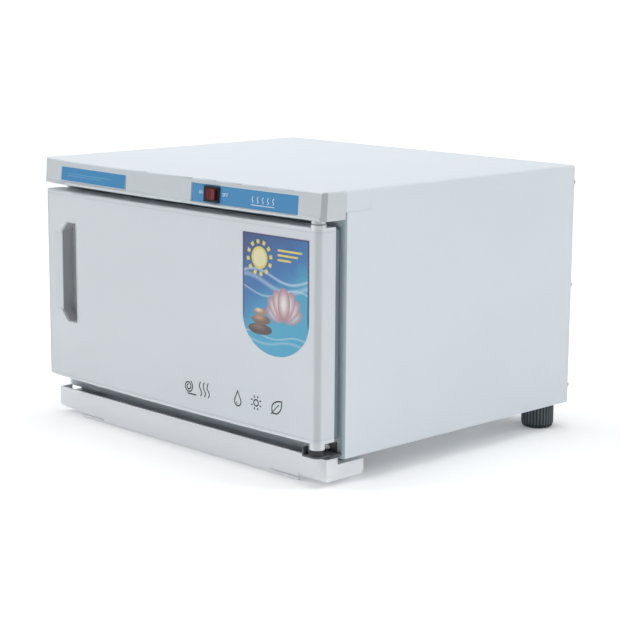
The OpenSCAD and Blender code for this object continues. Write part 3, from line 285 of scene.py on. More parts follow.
def powderCoat(name, tint, rough, edge, hingeShadeStrip=None):
    coat = Finish(name, tint, rough, Coat_Weight=0.12, Coat_Roughness=0.25)
    peel = coat.noise(paint["peel"], 2, 0.45)
    fine = coat.noise(paint["peel"] * 4, 1)
    cloud = coat.noise(9, 3, 0.55)
    scuff = coat.noise(60, 5, 0.7, (1, 1, 6)).ease(0.62, 0.78)
    colour = coat.mix(cloud.ease(0.3, 0.7) * 0.5, tint, shade(tint, 0.975))
    colour = coat.mix(scuff * 0.06, colour, paint["worn"])
    # painted shade on the folded front edge beside the hinge, on the right side only
    if hingeShadeStrip:
        x, y = coat.place("XY")
        colour = coat.mix(y.ease(hingeShadeStrip["from"], hingeShadeStrip["to"]) * x.ease(0, 0.01), colour, hingeShadeStrip["tint"])
    coat.feed({"Base Color": colour, "Roughness": rough + (cloud - 0.5) * 0.12 + scuff * 0.08})
    wave = coat.noise(4.5, size=(1, 1, 1.4))
    coat.relief(peel * 0.75 + fine * 0.25 + wave * paint["waveShare"], paint["peelDepth"], 0.6, edge)
    return coat.material


wear(powderCoat("casePaint", paint["tint"], paint["rough"], paint["edge"]), "back_panel")
wear(powderCoat("wrapPaint", paint["tint"], paint["rough"], paint["edge"], paint["hingeShadeStrip"]), "outer_wrap")
wear(powderCoat("innerPaint", (0.62, 0.665, 0.70), 0.5, 0.3 * mm), "front_frame", "base_pan")
wear(powderCoat("ballastLacquer", (0.10, 0.11, 0.13), 0.4, 0.3 * mm), "lamp_ballast")
wear(powderCoat("hingeLacquer", (0.075, 0.08, 0.088), 0.42, 0.2 * mm),
     "hinge_bracket_top", "hinge_bracket_bottom")

plastic = {"grain": 1500.0, "grainDepth": 0.012 * mm, "dust": (0.62, 0.63, 0.63)}


def mouldedPlastic(name, tint, rough, grain, edge, coat=0.0, dust=0.0, rim=None, top=None, paintedCornerShade=0.0):
    # how much darker a corner is painted where the front turns into a side: a painted shade
    shell = Finish(name, tint, rough, Coat_Weight=coat, Coat_Roughness=0.18)
    skin = shell.noise(plastic["grain"], 3, 0.6)
    flow = shell.noise(5, size=(1, 1, 2.2))
    rub = shell.noise(110, 4, 0.65, (1, 1, 5)).ease(0.6, 0.8)
    colour = shell.mix(flow.ease(0.35, 0.7) * 0.6, tint, shade(tint, 0.97))
    if dust:
        speck = shell.noise(420, 4, 0.7).ease(0.5, 0.75)
        colour = shell.mix(speck * dust, colour, plastic["dust"])
    if top:  # painted light: the parts that lie on the case, the header's top among them, are painted as light as the case, as if lit from above; they are as matt as the case too
        y, z = shell.place("YZ")
        paintedTopLight = z.ease(*top["rise"]).maths("MAXIMUM", y.ease(*top["back"]))
        colour = shell.mix(paintedTopLight, colour, top["tint"])
        shell.feed({"Coat Weight": coat - paintedTopLight * (coat - top["coat"])})
    if rim:  # the border that the bead follows: a fine dark line of painted shade along the bead, with a paler band of painted highlight outside it
        x, z = shell.place("XZ")
        near = (x - rim["left"]).maths("MINIMUM", z - rim["low"]).maths("MINIMUM", rim["top"] - z)
        line = (near - rim["wide"]).maths("ABSOLUTE").ease(rim["line"], 0)
        # painted highlight on the band outside the line, then painted shade along the line
        colour = shell.mix(near.ease(rim["wide"], 0) * rim["highlightShare"], colour, rim["pale"])
        colour = shell.mix(line * rim["dark"], colour, shade(tint, 0.7))
        skin = skin - line * rim["sink"]
    # painted shade: corners between the front and a side are darkened
    if paintedCornerShade:
        colour = shell.mix(shell.corner() * paintedCornerShade, colour, (0, 0, 0))
    shell.feed({"Base Color": colour, "Roughness": rough + (flow - 0.5) * 0.1 + rub * 0.07})
    shell.relief(skin, plastic["grainDepth"] * grain, 0.55, edge)
    return shell.material


header = {
    "tint": (0.665, 0.715, 0.75), "paintedCornerShade": 0.2,
    # the header's top and the parts on the case, painted as light as the case: a painted light
    "top": {"rise": (0.2925, 0.2946), "back": (-0.1612, -0.1602), "tint": paint["tint"], "coat": 0.12},
}
wear(mouldedPlastic("headerMoulding", header["tint"], 0.38, 1.0, 0.6 * mm, 0.2, top=header["top"],
                    paintedCornerShade=header["paintedCornerShade"]), "header_fascia")

doorLow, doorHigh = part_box("door_shell")
doorRim = {  # along the panel's three free edges; the hinge column has none
    "left": doorLow.x, "low": doorLow.z + 5.8 * mm, "top": doorHigh.z - 3.1 * mm,
    # painted shade: the dark line along the bead; painted highlight: the pale band outside it, and how strong
    # it is
    "wide": 4.2 * mm, "line": 0.6 * mm, "sink": 18.0, "dark": 0.45, "highlightShare": 0.55, "pale": (0.90, 0.93, 0.955),
}
doorPlastic = mouldedPlastic("doorMoulding", (0.735, 0.785, 0.825), 0.36, 0.9, 0.6 * mm, 0.3, rim=doorRim,
                             paintedCornerShade=0.13)
wear(doorPlastic, "door_shell")
wear(mouldedPlastic("linerSheet", (0.80, 0.82, 0.835), 0.42, 1.2, 0.8 * mm, 0.1), "door_liner")
wear(mouldedPlastic("trayPlastic", (0.95, 0.97, 1.0), 0.45, 1.4, 0.6 * mm, 0.05, paintedCornerShade=0.2), "drip_tray")
wear(mouldedPlastic("cupPlastic", (0.48, 0.50, 0.52), 0.5, 2.0, 0.4 * mm), "handle_cup")
wear(mouldedPlastic("switchBlack", (0.004, 0.004, 0.005), 0.55, 1.0, 0.3 * mm), "switch_housing")
wear(mouldedPlastic("bushPlastic", (0.03, 0.031, 0.034), 0.5, 1.5, 0.2 * mm),
     "hinge_bush_top", "hinge_bush_bottom")
wear(mouldedPlastic("thermostatBody", (0.03, 0.03, 0.032), 0.4, 1.0, 0.3 * mm, 0.2), "thermostat")
wear(mouldedPlastic("cutoffBody", (0.20, 0.045, 0.03), 0.4, 1.0, 0.3 * mm, 0.2), "thermal_cutoff")
wear(mouldedPlastic("holderWhite", (0.78, 0.78, 0.75), 0.4, 1.0, 0.4 * mm, 0.1),
     "lamp_holder_left", "lamp_holder_right")
wear(mouldedPlastic("starterCan", (0.72, 0.72, 0.68), 0.38, 1.0, 0.4 * mm, 0.1), "lamp_starter")
wear(mouldedPlastic("terminalBody", (0.76, 0.76, 0.70), 0.45, 1.0, 0.3 * mm, dust=0.2), "terminal_block")


def softRubber(name, tint, grain, edge, dust, ribHighlight=None):
    rubber = Finish(name, tint, 0.72)
    skin = rubber.noise(grain, 4, 0.65)
    powder = rubber.noise(260, 5, 0.75).ease(0.45, 0.8)
    colour = rubber.mix(powder * dust, tint, (0.42, 0.43, 0.43))
    if ribHighlight:  # painted highlight: the crests, furthest from each foot's middle, are painted paler, as if they catch the light
        x, y = rubber.place("XY")
        front = y.ease(0.02, -0.02)
        across = x.maths("ABSOLUTE") - ribHighlight["backX"] + front * (ribHighlight["backX"] - ribHighlight["frontX"])
        along = y - ribHighlight["backY"] + front * (ribHighlight["backY"] - ribHighlight["frontY"])
        crestHighlight = (across * across + along * along).maths("SQRT").ease(ribHighlight["r"] - ribHighlight["deep"], ribHighlight["r"])
        colour = rubber.mix(crestHighlight, colour, ribHighlight["pale"])
    rubber.feed({"Base Color": colour, "Roughness": 0.68 + powder * 0.15})
    rubber.relief(skin, 0.04 * mm, 0.6, edge)
    return rubber.material


feetLow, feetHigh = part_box("feet")
footR = 18 * mm
# where the painted highlight on the crests of the feet falls
footRibHighlight = {
    "r": footR, "deep": 0.75 * mm, "pale": (0.15, 0.18, 0.19),
    "backX": feetHigh.x - footR, "backY": feetHigh.y - footR, "frontX": 150 * mm, "frontY": feetLow.y + footR,
}
wear(softRubber("footRubber", (0.030, 0.038, 0.042), 900, 0.3 * mm, 0.1, footRibHighlight), "feet")
wear(softRubber("inletRubber", (0.02, 0.02, 0.022), 1200, 0.3 * mm, 0.1), "cord_inlet")
wear(softRubber("gasketVinyl", (0.185, 0.25, 0.295), 1400, 0.5 * mm, 0.05), "door_gasket")
wear(softRubber("magnetStrip", (0.03, 0.025, 0.024), 1100, 0.0, 0.1), "gasket_magnet")


def brushedMetal(name, tint, rough, along, metal=1.0, edge=0.3 * mm, stain=0.3):
    # along: stretch of the grain, small where the lines run
    plate = Finish(name, tint, rough, Metallic=metal)
    line = plate.noise(700, 4, 0.6, along)
    cloud = plate.noise(14, 4, 0.6)
    colour = plate.mix(cloud.ease(0.35, 0.75) * stain, tint, shade(tint, 0.8))
    plate.feed({"Base Color": colour, "Roughness": rough + (line - 0.5) * 0.22 + (cloud - 0.5) * 0.12})
    plate.relief(line, 0.01 * mm, 0.6, edge)
    return plate.material


wear(brushedMetal("chamberAluminium", (0.83, 0.84, 0.85), 0.36, (0.04, 1, 1)), "chamber_liner")
wear(brushedMetal("heaterFoil", (0.62, 0.60, 0.55), 0.42, (1, 0.05, 1), 0.9), "heater_plate")
wear(brushedMetal("galvanisedRail", (0.60, 0.62, 0.63), 0.45, (0.3, 0.3, 1), 0.9),
     "tray_rails", "chamber_supports")
wear(brushedMetal("turnedPin", (0.58, 0.58, 0.58), 0.28, (1, 1, 0.2)), "hinge_pin_top", "hinge_pin_bottom")

chrome = {"tint": (0.80, 0.81, 0.82), "pit": (0.42, 0.40, 0.37)}


def chromeWire():
    wire = Finish("chromeWire", chrome["tint"], 0.13, Metallic=1.0)
    haze = wire.noise(90, 4, 0.6)
    pit = wire.noise(900, 3, 0.6).ease(0.66, 0.78)
    wire.feed({"Base Color": wire.mix(pit * 0.35, chrome["tint"], chrome["pit"]),
               "Roughness": 0.1 + haze * 0.12 + pit * 0.2})
    wire.relief(haze, 0.01 * mm, 0.4)
    return wire.material


wear(chromeWire(), "rack_upper", "rack_lower", "lamp_guard")

wool = {
    "tint": (0.80, 0.70, 0.36), "dark": (0.62, 0.52, 0.24),
    "light": (0.86, 0.78, 0.48), "clump": (0.9, 0.85, 0.62),
}
foamTints = {"whole": (0.88, 0.88, 0.83), "cell": (0.78, 0.78, 0.72), "wall": (0.92, 0.92, 0.88)}


def woolBoard():
    board = Finish("woolBoard", wool["tint"], 0.95)
    strand = board.noise(260, 6, 0.8, (1, 1, 4))
    clump = board.noise(40, 3, 0.6)
    colour = board.mix(strand.ease(0.35, 0.7), wool["dark"], wool["light"])
    board.feed({"Base Color": board.mix(clump.ease(0.5, 0.8) * 0.4, colour, wool["clump"])})
    board.relief(strand * 0.7 + clump * 0.3, 0.8 * mm, 0.9)
    return board.material


def foamCore():
    foam = Finish("doorFoam", foamTints["whole"], 0.9)
    cell = foam.node("ShaderNodeTexVoronoi", None, {"Vector": foam.spot(), "Scale": 420.0})
    foam.feed({"Base Color": foam.mix(cell.ease(0.1, 0.6), foamTints["cell"], foamTints["wall"])})
    foam.relief(cell, 0.4 * mm, 0.8)
    return foam.material


wear(woolBoard(), "insulation")
wear(foamCore(), "door_core")
print("stage: sheet, mouldings, metal and rubber")


# printed films and the rocker

film = {"blue": (0.050, 0.287, 0.585), "pale": (0.082, 0.39, 0.685), "fade": (0.268, 0.292)}


def labelFilm():
    # a little paler towards the top edge
    sheet = Finish("labelFilm", film["blue"], 0.3, Coat_Weight=0.35, Coat_Roughness=0.12)
    fade = sheet.place("Z")[0].ease(*film["fade"])
    weave = sheet.noise(900)
    colour = sheet.mix(fade * 0.15 + (weave - 0.5) * 0.08, film["blue"], film["pale"])
    sheet.feed({"Base Color": colour, "Roughness": 0.28 + weave * 0.1})
    sheet.relief(weave, 0.006 * mm, 0.4)
    return sheet.material


labelPrint = wear(labelFilm(), "label_left", "label_right")

rocker = {
    "tint": (0.18, 0.012, 0.010), "dark": (0.10, 0.003, 0.008), "bright": (0.16, 0.010, 0.018),
    "fade": (0.0735, 0.0655),  # painted light and shade: from dark at the right end to bright at the left
}


def clearRed():
    glow = Finish("rockerRed", rocker["tint"], 0.34, Coat_Weight=0.0, Specular_IOR_Level=0.3)
    # painted light on the left end of the rocker, painted shade on its right end
    lit = glow.place("X")[0].ease(*rocker["fade"])
    cloud = glow.noise(500, 3)
    glow.feed({"Base Color": glow.mix(lit, rocker["dark"], rocker["bright"]),
               "Roughness": 0.28 + cloud * 0.12})
    glow.relief(cloud, 0.01 * mm, 0.4, 0.3 * mm)
    return glow.material


wear(clearRed(), "rocker_button")

art = {  # the door's decal: its frame in x and z, its colours, and its own motif in shares of the frame
    "left": 0.1150, "right": 0.2075, "top": 0.2475, "low": 0.1270,
    "deep": (0.016, 0.055, 0.20), "mid": (0.022, 0.16, 0.44), "light": (0.055, 0.40, 0.62),
    "border": (0.035, 0.045, 0.16), "pale": (0.66, 0.80, 0.90), "warm": (0.80, 0.66, 0.12),
    "discTint": (0.82, 0.79, 0.46), "petalTip": (0.84, 0.80, 0.80), "petalEdge": (0.46, 0.25, 0.30),
    "ribbons": [  # height, swing, length, start, half width, strength
        (0.66, 0.045, 6.0, 0.4, 0.020, 0.55), (0.60, 0.055, 5.2, 1.3, 0.035, 0.4),
        (0.53, 0.04, 6.6, 2.4, 0.014, 0.5), (0.16, 0.02, 9.0, 0.5, 0.012, 0.45),
        (0.11, 0.02, 8.0, 2.0, 0.02, 0.3),
    ],
    "stones": [  # across, up, half width, half height, tint, from the lowest up
        (0.27, 0.205, 0.185, 0.062, (0.085, 0.055, 0.05)),
        (0.285, 0.285, 0.145, 0.052, (0.20, 0.12, 0.085)),
        (0.27, 0.35, 0.10, 0.042, (0.36, 0.25, 0.17)),
    ],
    "flower": (0.63, 0.31),
    "petals": [  # turn, reach, half width, strength, on both sides
        (1.2, 0.30, 0.08, 0.75), (0.8, 0.33, 0.085, 0.85), (0.4, 0.35, 0.09, 0.93),
    ],
    "middlePetal": (0.0, 0.36, 0.095, 1.0),
    "disc": (0.26, 0.80, 0.12), "rays": 12,
    "bars": [(0.885, 0.90), (0.845, 0.84), (0.805, 0.74)], "barStart": 0.535,  # height and right end
}


def decalArt():
    picture = Finish("decalPrint", art["mid"], 0.25, Coat_Weight=0.5, Coat_Roughness=0.08)
    wide, high = art["right"] - art["left"], art["top"] - art["low"]
    tall = high / wide
    x, z = picture.place("XZ")
    u = (x - art["left"]) / wide
    v = (z - art["low"]) / high
    cloud = picture.noise(28, 4, 0.55)
    # ground: violet blue at the top left, cyan at the foot
    slope = v * 0.8 - u * 0.3 + (cloud - 0.5) * 0.5
    ground = picture.mix(slope.ease(0.05, 0.45), art["light"], art["mid"])
    ground = picture.mix(slope.ease(0.4, 0.85), ground, art["deep"])

    # soft ribbons that rise and fall across the decal
    for centre, swing, length, start, width, share in art["ribbons"]:
        line = (u * length + start).maths("SINE") * swing + centre
        band = (v - line).maths("ABSOLUTE").ease(width, 0.0)
        ground = picture.mix(band * share, ground, art["pale"])

    def oval(cu, cv, halfWide, halfHigh):
        # distance from a centre, 1 on the edge of an oval; its sizes are shares of the decal's width
        across, up = (u - cu) / halfWide, (v - cv) * tall / halfHigh
        return (across * across + up * up).maths("SQRT")

    # three stacked stones low on the left
    for cu, cv, halfWide, halfHigh, tint in art["stones"]:
        stone = oval(cu, cv, halfWide, halfHigh)
        light = oval(cu - halfWide * 0.2, cv + halfHigh * 0.3, halfWide, halfHigh).ease(0.9, 0.0)
        skin = picture.mix(light * 0.75, tint, shade(tint, 3.2))
        ground = picture.mix(stone.ease(1.02, 0.96), ground, skin)

    def petal(turn, reach, fat):
        cu, cv = u - art["flower"][0], (v - art["flower"][1]) * tall
        along = cu * math.sin(turn) + cv * math.cos(turn)
        across = (cu * math.cos(turn) - cv * math.sin(turn)) / fat
        middle = (along - reach / 2) / (reach / 2)
        return (across * across + middle * middle).maths("SQRT")

    # a seven-petal flower on the right
    both = [(side * turn, *rest) for turn, *rest in art["petals"] for side in (-1, 1)]
    for turn, reach, fat, share in both + [art["middlePetal"]]:
        edge = petal(turn, reach, fat)
        rosy = picture.mix(edge.ease(0.1, 1.0), art["petalTip"], art["petalEdge"])
        ground = picture.mix(edge.ease(1.0, 0.95) * share, ground, rosy)

    # a pale disc with rays high on the left, and three plain bars beside it
    discU, discV, discR = art["disc"]
    disc = oval(discU, discV, discR, discR)
    turn = ((v - discV) * tall).maths("ARCTAN2", u - discU)
    ray = (turn * art["rays"]).maths("SINE").ease(-0.1, 0.3) * disc.ease(1.24, 1.30) * disc.ease(1.68, 1.60)
    ground = picture.mix(ray, ground, art["warm"])
    ground = picture.mix(disc.ease(1.05, 0.98), ground, art["warm"])
    ground = picture.mix(disc.ease(0.86, 0.70), ground, art["discTint"])
    for middle, end in art["bars"]:
        bar = (v - middle).maths("ABSOLUTE").ease(0.010, 0.007)
        bar = bar * u.ease(art["barStart"], art["barStart"] + 0.005) * u.ease(end, end - 0.005)
        ground = picture.mix(bar, ground, art["warm"])

    # border along the top and the straight sides
    rim = u.ease(0.022, 0.016).maths("MAXIMUM", u.ease(0.978, 0.984)) * v.ease(0.24, 0.34)
    ground = picture.mix(rim.maths("MAXIMUM", v.ease(0.984, 0.988)), ground, art["border"])
    dots = picture.noise(1600, 1)
    picture.feed({"Base Color": ground, "Roughness": 0.22 + dots * 0.08 + cloud * 0.06})
    picture.relief(dots, 0.004 * mm, 0.3)
    return picture.material


decalPrint = wear(decalArt(), "door_decal")
print("stage: printed films")


# pieces made here: a mesh builder that takes points, and repeats by Geometry Nodes

def settle(piece, body, replaced=()):
    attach(piece, body)
    if replaced:
        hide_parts(*replaced)


def meshPiece(name, make, material, body, replaced=(), smooth=False):
    data = bpy.data.meshes.new(name)
    shape = bmesh.new()
    make(shape)
    bmesh.ops.recalc_face_normals(shape, faces=shape.faces)
    for face in shape.faces:
        face.smooth = smooth
    shape.to_mesh(data)
    shape.free()
    piece = bpy.data.objects.new(name, data)
    scene.collection.objects.link(piece)
    data.materials.append(material)
    settle(piece, body, replaced)


def tube(shape, rings, closed=False):
    # joins rings of as many points, and caps both ends unless the tube closes on itself
    count = len(rings[0])
    for low, high in zip(rings, rings[1:] + (rings[:1] if closed else [])):
        for k in range(count):
            n = (k + 1) % count
            shape.faces.new((low[k], low[n], high[n], high[k]))
    if not closed:
        shape.faces.new(rings[0][::-1])
        shape.faces.new(rings[-1])


def roundRing(shape, radius, height, steps, turn, place):
    angles = (math.tau * k / steps for k in range(steps))
    points = (Vector((radius * math.cos(a), radius * math.sin(a), height)) for a in angles)
    return [shape.verts.new(turn @ point + place) for point in points]


def spun(shape, outline, steps, axis=Vector((0, 0, 1)), place=Vector()):
    # closed solid of revolution from (radius, height) pairs, ends on the axis
    turn = axis.to_track_quat("Z", "Y").to_matrix()
    rings = []
    for radius, height in outline:
        if radius:
            rings.append(roundRing(shape, radius, height, steps, turn, place))
        else:
            rings.append([shape.verts.new(turn @ Vector((0, 0, height)) + place)])
    for low, high in zip(rings, rings[1:]):
        for k in range(steps):
            n = (k + 1) % steps
            around = (low[k % len(low)], low[n % len(low)], high[n % len(high)], high[k % len(high)])
            around = list(dict.fromkeys(around))
            if len(around) > 2:
                shape.faces.new(around)


# a pan head screw with a cross recess

screwSize = {
    "headR": 3.4 * mm, "headT": 1.7 * mm, "shankR": 1.75 * mm, "shankL": 6 * mm, "steps": 40,
    "crossR": 2.0 * mm, "crossW": 0.62 * mm, "crossD": 0.9 * mm, "flat": 0.25 * mm,
    "seat": 1.6 * mm,  # the head's inner plane, in from the CAD screw's outer end
}


def crossOutline(reach, half):
    corner = [(reach, -half), (reach, half), (half, half)]
    points = []
    for k in range(4):
        points += corner
        corner = [(-y, x) for x, y in corner]
    return points


def inCross(point, reach, half):
    across, up = abs(point.x), abs(point.y)
    return (across < reach and up < half) or (up < reach and across < half)


def screwMesh():
    s = screwSize
    r, t = s["headR"], s["headT"]
    data = bpy.data.meshes.new("screwForm")
    shape = bmesh.new()
    spun(shape, [(0, -s["shankL"]), (s["shankR"], -s["shankL"]), (s["shankR"], 0), (r * 0.985, 0),
                 (r, 0.15 * mm), (r, t * 0.45), (r * 0.96, t * 0.68), (r * 0.86, t * 0.84),
                 (r * 0.7, t * 0.93), (s["crossR"] + s["flat"], t)], s["steps"])
    top = [v for v in shape.verts if abs(v.co.z - t) < 1e-9]
    top.sort(key=lambda v: math.atan2(v.co.y, v.co.x))

    # recess: a cross-shaped hole that narrows downwards
    def cross(k, z):
        return [shape.verts.new((x, y, z)) for x, y in crossOutline(s["crossR"] * k, s["crossW"] * k)]

    mouth, pit = cross(1.0, t), cross(0.55, t - s["crossD"])
    count = len(mouth)
    for k in range(count):
        n = (k + 1) % count
        shape.faces.new((mouth[k], mouth[n], pit[n], pit[k]))
    shape.faces.new(pit)
    # the flat ring between the dome and the recess
    ends = [shape.edges.get(pair) for ring in (top, mouth) for pair in zip(ring, ring[1:] + ring[:1])]
    bmesh.ops.triangle_fill(shape, edges=ends, use_beauty=True)
    spare = []
    for face in shape.faces:
        middle = face.calc_center_median()
        if len(face.verts) == 3 and abs(middle.z - t) < 1e-7 and inCross(middle, s["crossR"], s["crossW"]):
            spare.append(face)
    bmesh.ops.delete(shape, geom=spare, context="FACES_ONLY")
    bmesh.ops.recalc_face_normals(shape, faces=shape.faces)
    for face in shape.faces:
        face.smooth = abs(face.normal.z) < 0.9
    shape.to_mesh(data)
    shape.free()
    return data


def repeatTree(name):
    # Geometry Nodes: one form set on every point, turned by that point's own spin and facing
    tree = bpy.data.node_groups.new(name, "GeometryNodeTree")
    for title, kind in (("Points", "Geometry"), ("Form", "Object"), ("Facing", "Rotation"), ("Seed", "Int"),
                        ("Finish", "Material")):
        tree.interface.new_socket(title, in_out="INPUT", socket_type="NodeSocket" + kind)
    tree.interface.new_socket("Pieces", in_out="OUTPUT", socket_type="NodeSocketGeometry")

    def node(kind, values=None, **settings):
        made = tree.nodes.new(kind)
        for key, value in settings.items():
            setattr(made, key, value)
        for key, value in (values or {}).items():
            if isinstance(value, bpy.types.NodeSocket):
                tree.links.new(value, made.inputs[key])
            else:
                made.inputs[key].default_value = value
        return made

    given = node("NodeGroupInput").outputs
    form = node("GeometryNodeObjectInfo", {"Object": given["Form"], "As Instance": True})
    spin = node("FunctionNodeRandomValue", {"Min": (0, 0, 0), "Max": (0, 0, math.tau), "Seed": given["Seed"]},
                data_type="FLOAT_VECTOR")
    turn = node("FunctionNodeEulerToRotation", {0: spin.outputs[0]})
    facing = node("FunctionNodeRotateRotation", {"Rotation": given["Facing"], "Rotate By": turn.outputs[0]},
                  rotation_space="LOCAL")
    placed = node("GeometryNodeInstanceOnPoints", {
        "Points": given["Points"], "Instance": form.outputs["Geometry"], "Rotation": facing.outputs[0]})
    real = node("GeometryNodeRealizeInstances", {"Geometry": placed.outputs[0]})
    done = node("GeometryNodeSetMaterial", {"Geometry": real.outputs[0], "Material": given["Finish"]})
    node("NodeGroupOutput", {"Pieces": done.outputs[0]})
    return tree


def repeat(name, tree, form, points, facing, seed, material, body, replaced):
    cloud = bpy.data.meshes.new(name + "Points")
    cloud.from_pydata([tuple(p) for p in points], [], [])
    holder = bpy.data.objects.new(name + "Points", cloud)
    scene.collection.objects.link(holder)
    modifier = holder.modifiers.new("repeat", "NODES")
    modifier.node_group = tree
    given = {"Form": form, "Facing": facing, "Seed": seed, "Finish": material}
    for socket in tree.interface.items_tree:
        if socket.in_out == "INPUT" and socket.name in given:
            modifier[socket.identifier] = given[socket.name]
    graph = bpy.context.evaluated_depsgraph_get()
    made = bpy.data.meshes.new_from_object(holder.evaluated_get(graph))
    made.name = name
    bpy.data.objects.remove(holder)
    piece = bpy.data.objects.new(name, made)
    scene.collection.objects.link(piece)
    settle(piece, body, replaced)


def solidBoxes(nodeName):
    # lowest and highest corner of every separate solid in a CAD node
    shape = bmesh.new()
    shape.from_mesh(nodes[nodeName].data)
    bmesh.ops.remove_doubles(shape, verts=shape.verts, dist=1e-6)
    seen, found = set(), []
    for start in shape.verts:
        if start in seen:
            continue
        stack, part = [start], []
        seen.add(start)
        while stack:
            vert = stack.pop()
            part.append(vert.co.copy())
            for edge in vert.link_edges:
                other = edge.other_vert(vert)
                if other not in seen:
                    seen.add(other)
                    stack.append(other)
        found.append([Vector([pick(p[k] for p in part) for k in range(3)]) for pick in (min, max)])
    shape.free()
    return sorted(found, key=lambda pair: tuple(round(c, 5) for c in pair[0]))


def headSeat(low, high, facing):
    # the middle of the head's inner plane, from the CAD screw's own box
    seat = (low + high) / 2
    if facing == "back":
        seat.y = high.y - screwSize["seat"]
    elif facing == "front":
        seat.y = low.y + screwSize["seat"]
    else:
        seat.z = low.z + screwSize["seat"]
    return seat


zinc = brushedMetal("zincScrew", (0.66, 0.66, 0.64), 0.3, (1, 1, 1), edge=0.1 * mm, stain=0.5)
screwForm = bpy.data.objects.new("screwForm", screwMesh())
screwForm.data.materials.append(zinc)
screwTree = repeatTree("screwRepeat")
facings = {"back": (-math.pi / 2, 0, 0), "front": (math.pi / 2, 0, 0), "down": (math.pi, 0, 0)}

for name, nodeName, facing, seed, body in (
        ("backScrewHeads", "back_screws", "back", 3, "cabinet"),
        ("doorScrewHeads", "door_screws", "back", 5, "door"),
        ("bracketScrewHeads", "bracket_screws", "front", 7, "cabinet"),
        ("footScrewHeads", "foot_screws", "down", 9, "cabinet")):
    seats = [headSeat(low, high, facing) for low, high in solidBoxes(nodeName)]
    repeat(name, screwTree, screwForm, seats, facings[facing], seed, zinc, body, (nodeName,))
wear(zinc, "header_screws")
bpy.data.objects.remove(screwForm)
print("stage: screws")


# lamp tube: quartz glass, two metal caps and four pins, standing for the plain CAD tube

lamp = {
    "r": 7.75 * mm, "wall": 0.8 * mm, "overlap": 0.5 * mm, "steps": 64,
    "capR": 7.95 * mm, "cap": 7 * mm, "pinR": 1.1 * mm, "pinGap": 2.4 * mm, "pinOut": 6 * mm, "pinSteps": 20,
    "electrodeR": 2.2 * mm, "electrodeL": 10.5 * mm, "electrodeIn": 10 * mm,
    "coilR": 0.5 * mm, "coilT": 0.5 * mm, "coilPitch": 0.8 * mm, "coils": 6, "coilSteps": 10,
    "glass": (0.90, 0.95, 1.0), "clear": (0.92, 0.96, 1.0), "hazy": (0.80, 0.86, 0.95),
}


def tubeGlass():
    glass = Finish("quartzTube", lamp["glass"], 0.04, Transmission_Weight=1.0, IOR=1.46)
    haze = glass.noise(120, 3, 0.6)
    glass.feed({"Roughness": 0.03 + haze * 0.07,
                "Base Color": glass.mix(haze * 0.3, lamp["clear"], lamp["hazy"])})
    glass.relief(haze, 0.01 * mm, 0.3)
    return glass.material


lampLow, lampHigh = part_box("lamp_tube")
lampMid = (lampLow + lampHigh) / 2
lampHalf = (lampHigh.x - lampLow.x) / 2 - lamp["pinOut"]
alongX = Vector((1, 0, 0))


def glassForm(shape):
    r, inner, h = lamp["r"], lamp["r"] - lamp["wall"], lampHalf - lamp["cap"] + lamp["overlap"]
    turn = alongX.to_track_quat("Z", "Y").to_matrix()
    tube(shape, [roundRing(shape, radius, height, lamp["steps"], turn, lampMid)
                 for radius, height in ((inner, -h), (r, -h), (r, h), (inner, h))], closed=True)


def capForm(side):
    def make(shape):
        axis = alongX * side
        place = lampMid + axis * (lampHalf - lamp["cap"])
        r, c = lamp["capR"], lamp["cap"]
        spun(shape, [(0, 0.3 * mm), (r - 0.3 * mm, 0.3 * mm), (r, 0.6 * mm), (r, 2.2 * mm),
                     (r - 0.25 * mm, 2.6 * mm), (r, 3.0 * mm), (r, c - 0.6 * mm), (r - 0.6 * mm, c), (0, c)],
             lamp["steps"], axis, place)
        pr, out, sunk = lamp["pinR"], lamp["pinOut"], 0.5 * mm
        for turn in (-1, 1):
            pin = place + axis * c + Vector((0, 0, turn * lamp["pinGap"]))
            spun(shape, [(0, -sunk), (pr, -sunk), (pr, out - sunk), (pr * 0.6, out), (0, out)],
                 lamp["pinSteps"], axis, pin)
    return make


def rod(shape, radius, length, steps, axis, place):
    spun(shape, [(0, 0), (radius, 0), (radius, length), (0, length)], steps, axis, place)


def electrodeForm(shape):
    for side in (-1, 1):
        axis = alongX * side
        base = lampMid + axis * (lampHalf - lamp["cap"] - lamp["electrodeIn"])
        rod(shape, lamp["electrodeR"], lamp["electrodeL"], lamp["pinSteps"], axis, base)
        for k in range(lamp["coils"]):
            rod(shape, lamp["coilR"], lamp["coilT"], lamp["coilSteps"], axis,
                base - axis * (k + 1) * lamp["coilPitch"])


capMetal = brushedMetal("lampCapMetal", (0.72, 0.72, 0.71), 0.3, (0.2, 1, 1))
meshPiece("lampGlass", glassForm, tubeGlass(), "cabinet", ("lamp_tube",), smooth=True)
meshPiece("lampCapLeft", capForm(-1), capMetal, "cabinet")
meshPiece("lampCapRight", capForm(1), capMetal, "cabinet")
meshPiece("lampElectrodes", electrodeForm, capMetal, "cabinet")
print("stage: lamp tube")


# marks: ON and OFF by the switch, and printed figures that name nothing; their sizes are in millimetres

inkSkin = {"out": 0.012, "thick": 0.03, "grain": 2400}


def frontOf(nodeName):
    # gives points just in front of a CAD node's face, found by looking at it along +Y
    shape = bmesh.new()
    shape.from_mesh(nodes[nodeName].data)
    tree = BVHTree.FromBMesh(shape)
    shape.free()

    def point(x, z, out):
        hit, normal = tree.ray_cast(Vector((x * mm, -1, z * mm)), Vector((0, 1, 0)))[:2]
        if hit is None:
            raise ValueError(nodeName + " isn't there at " + str((x, z)))
        return hit + (normal if normal.y < 0 else -normal) * out * mm
    return point


def straight(start, end, steps=1):
    (x0, z0), (x1, z1) = start, end
    return [Vector((x0 + (x1 - x0) * k / steps, z0 + (z1 - z0) * k / steps)) for k in range(steps + 1)]


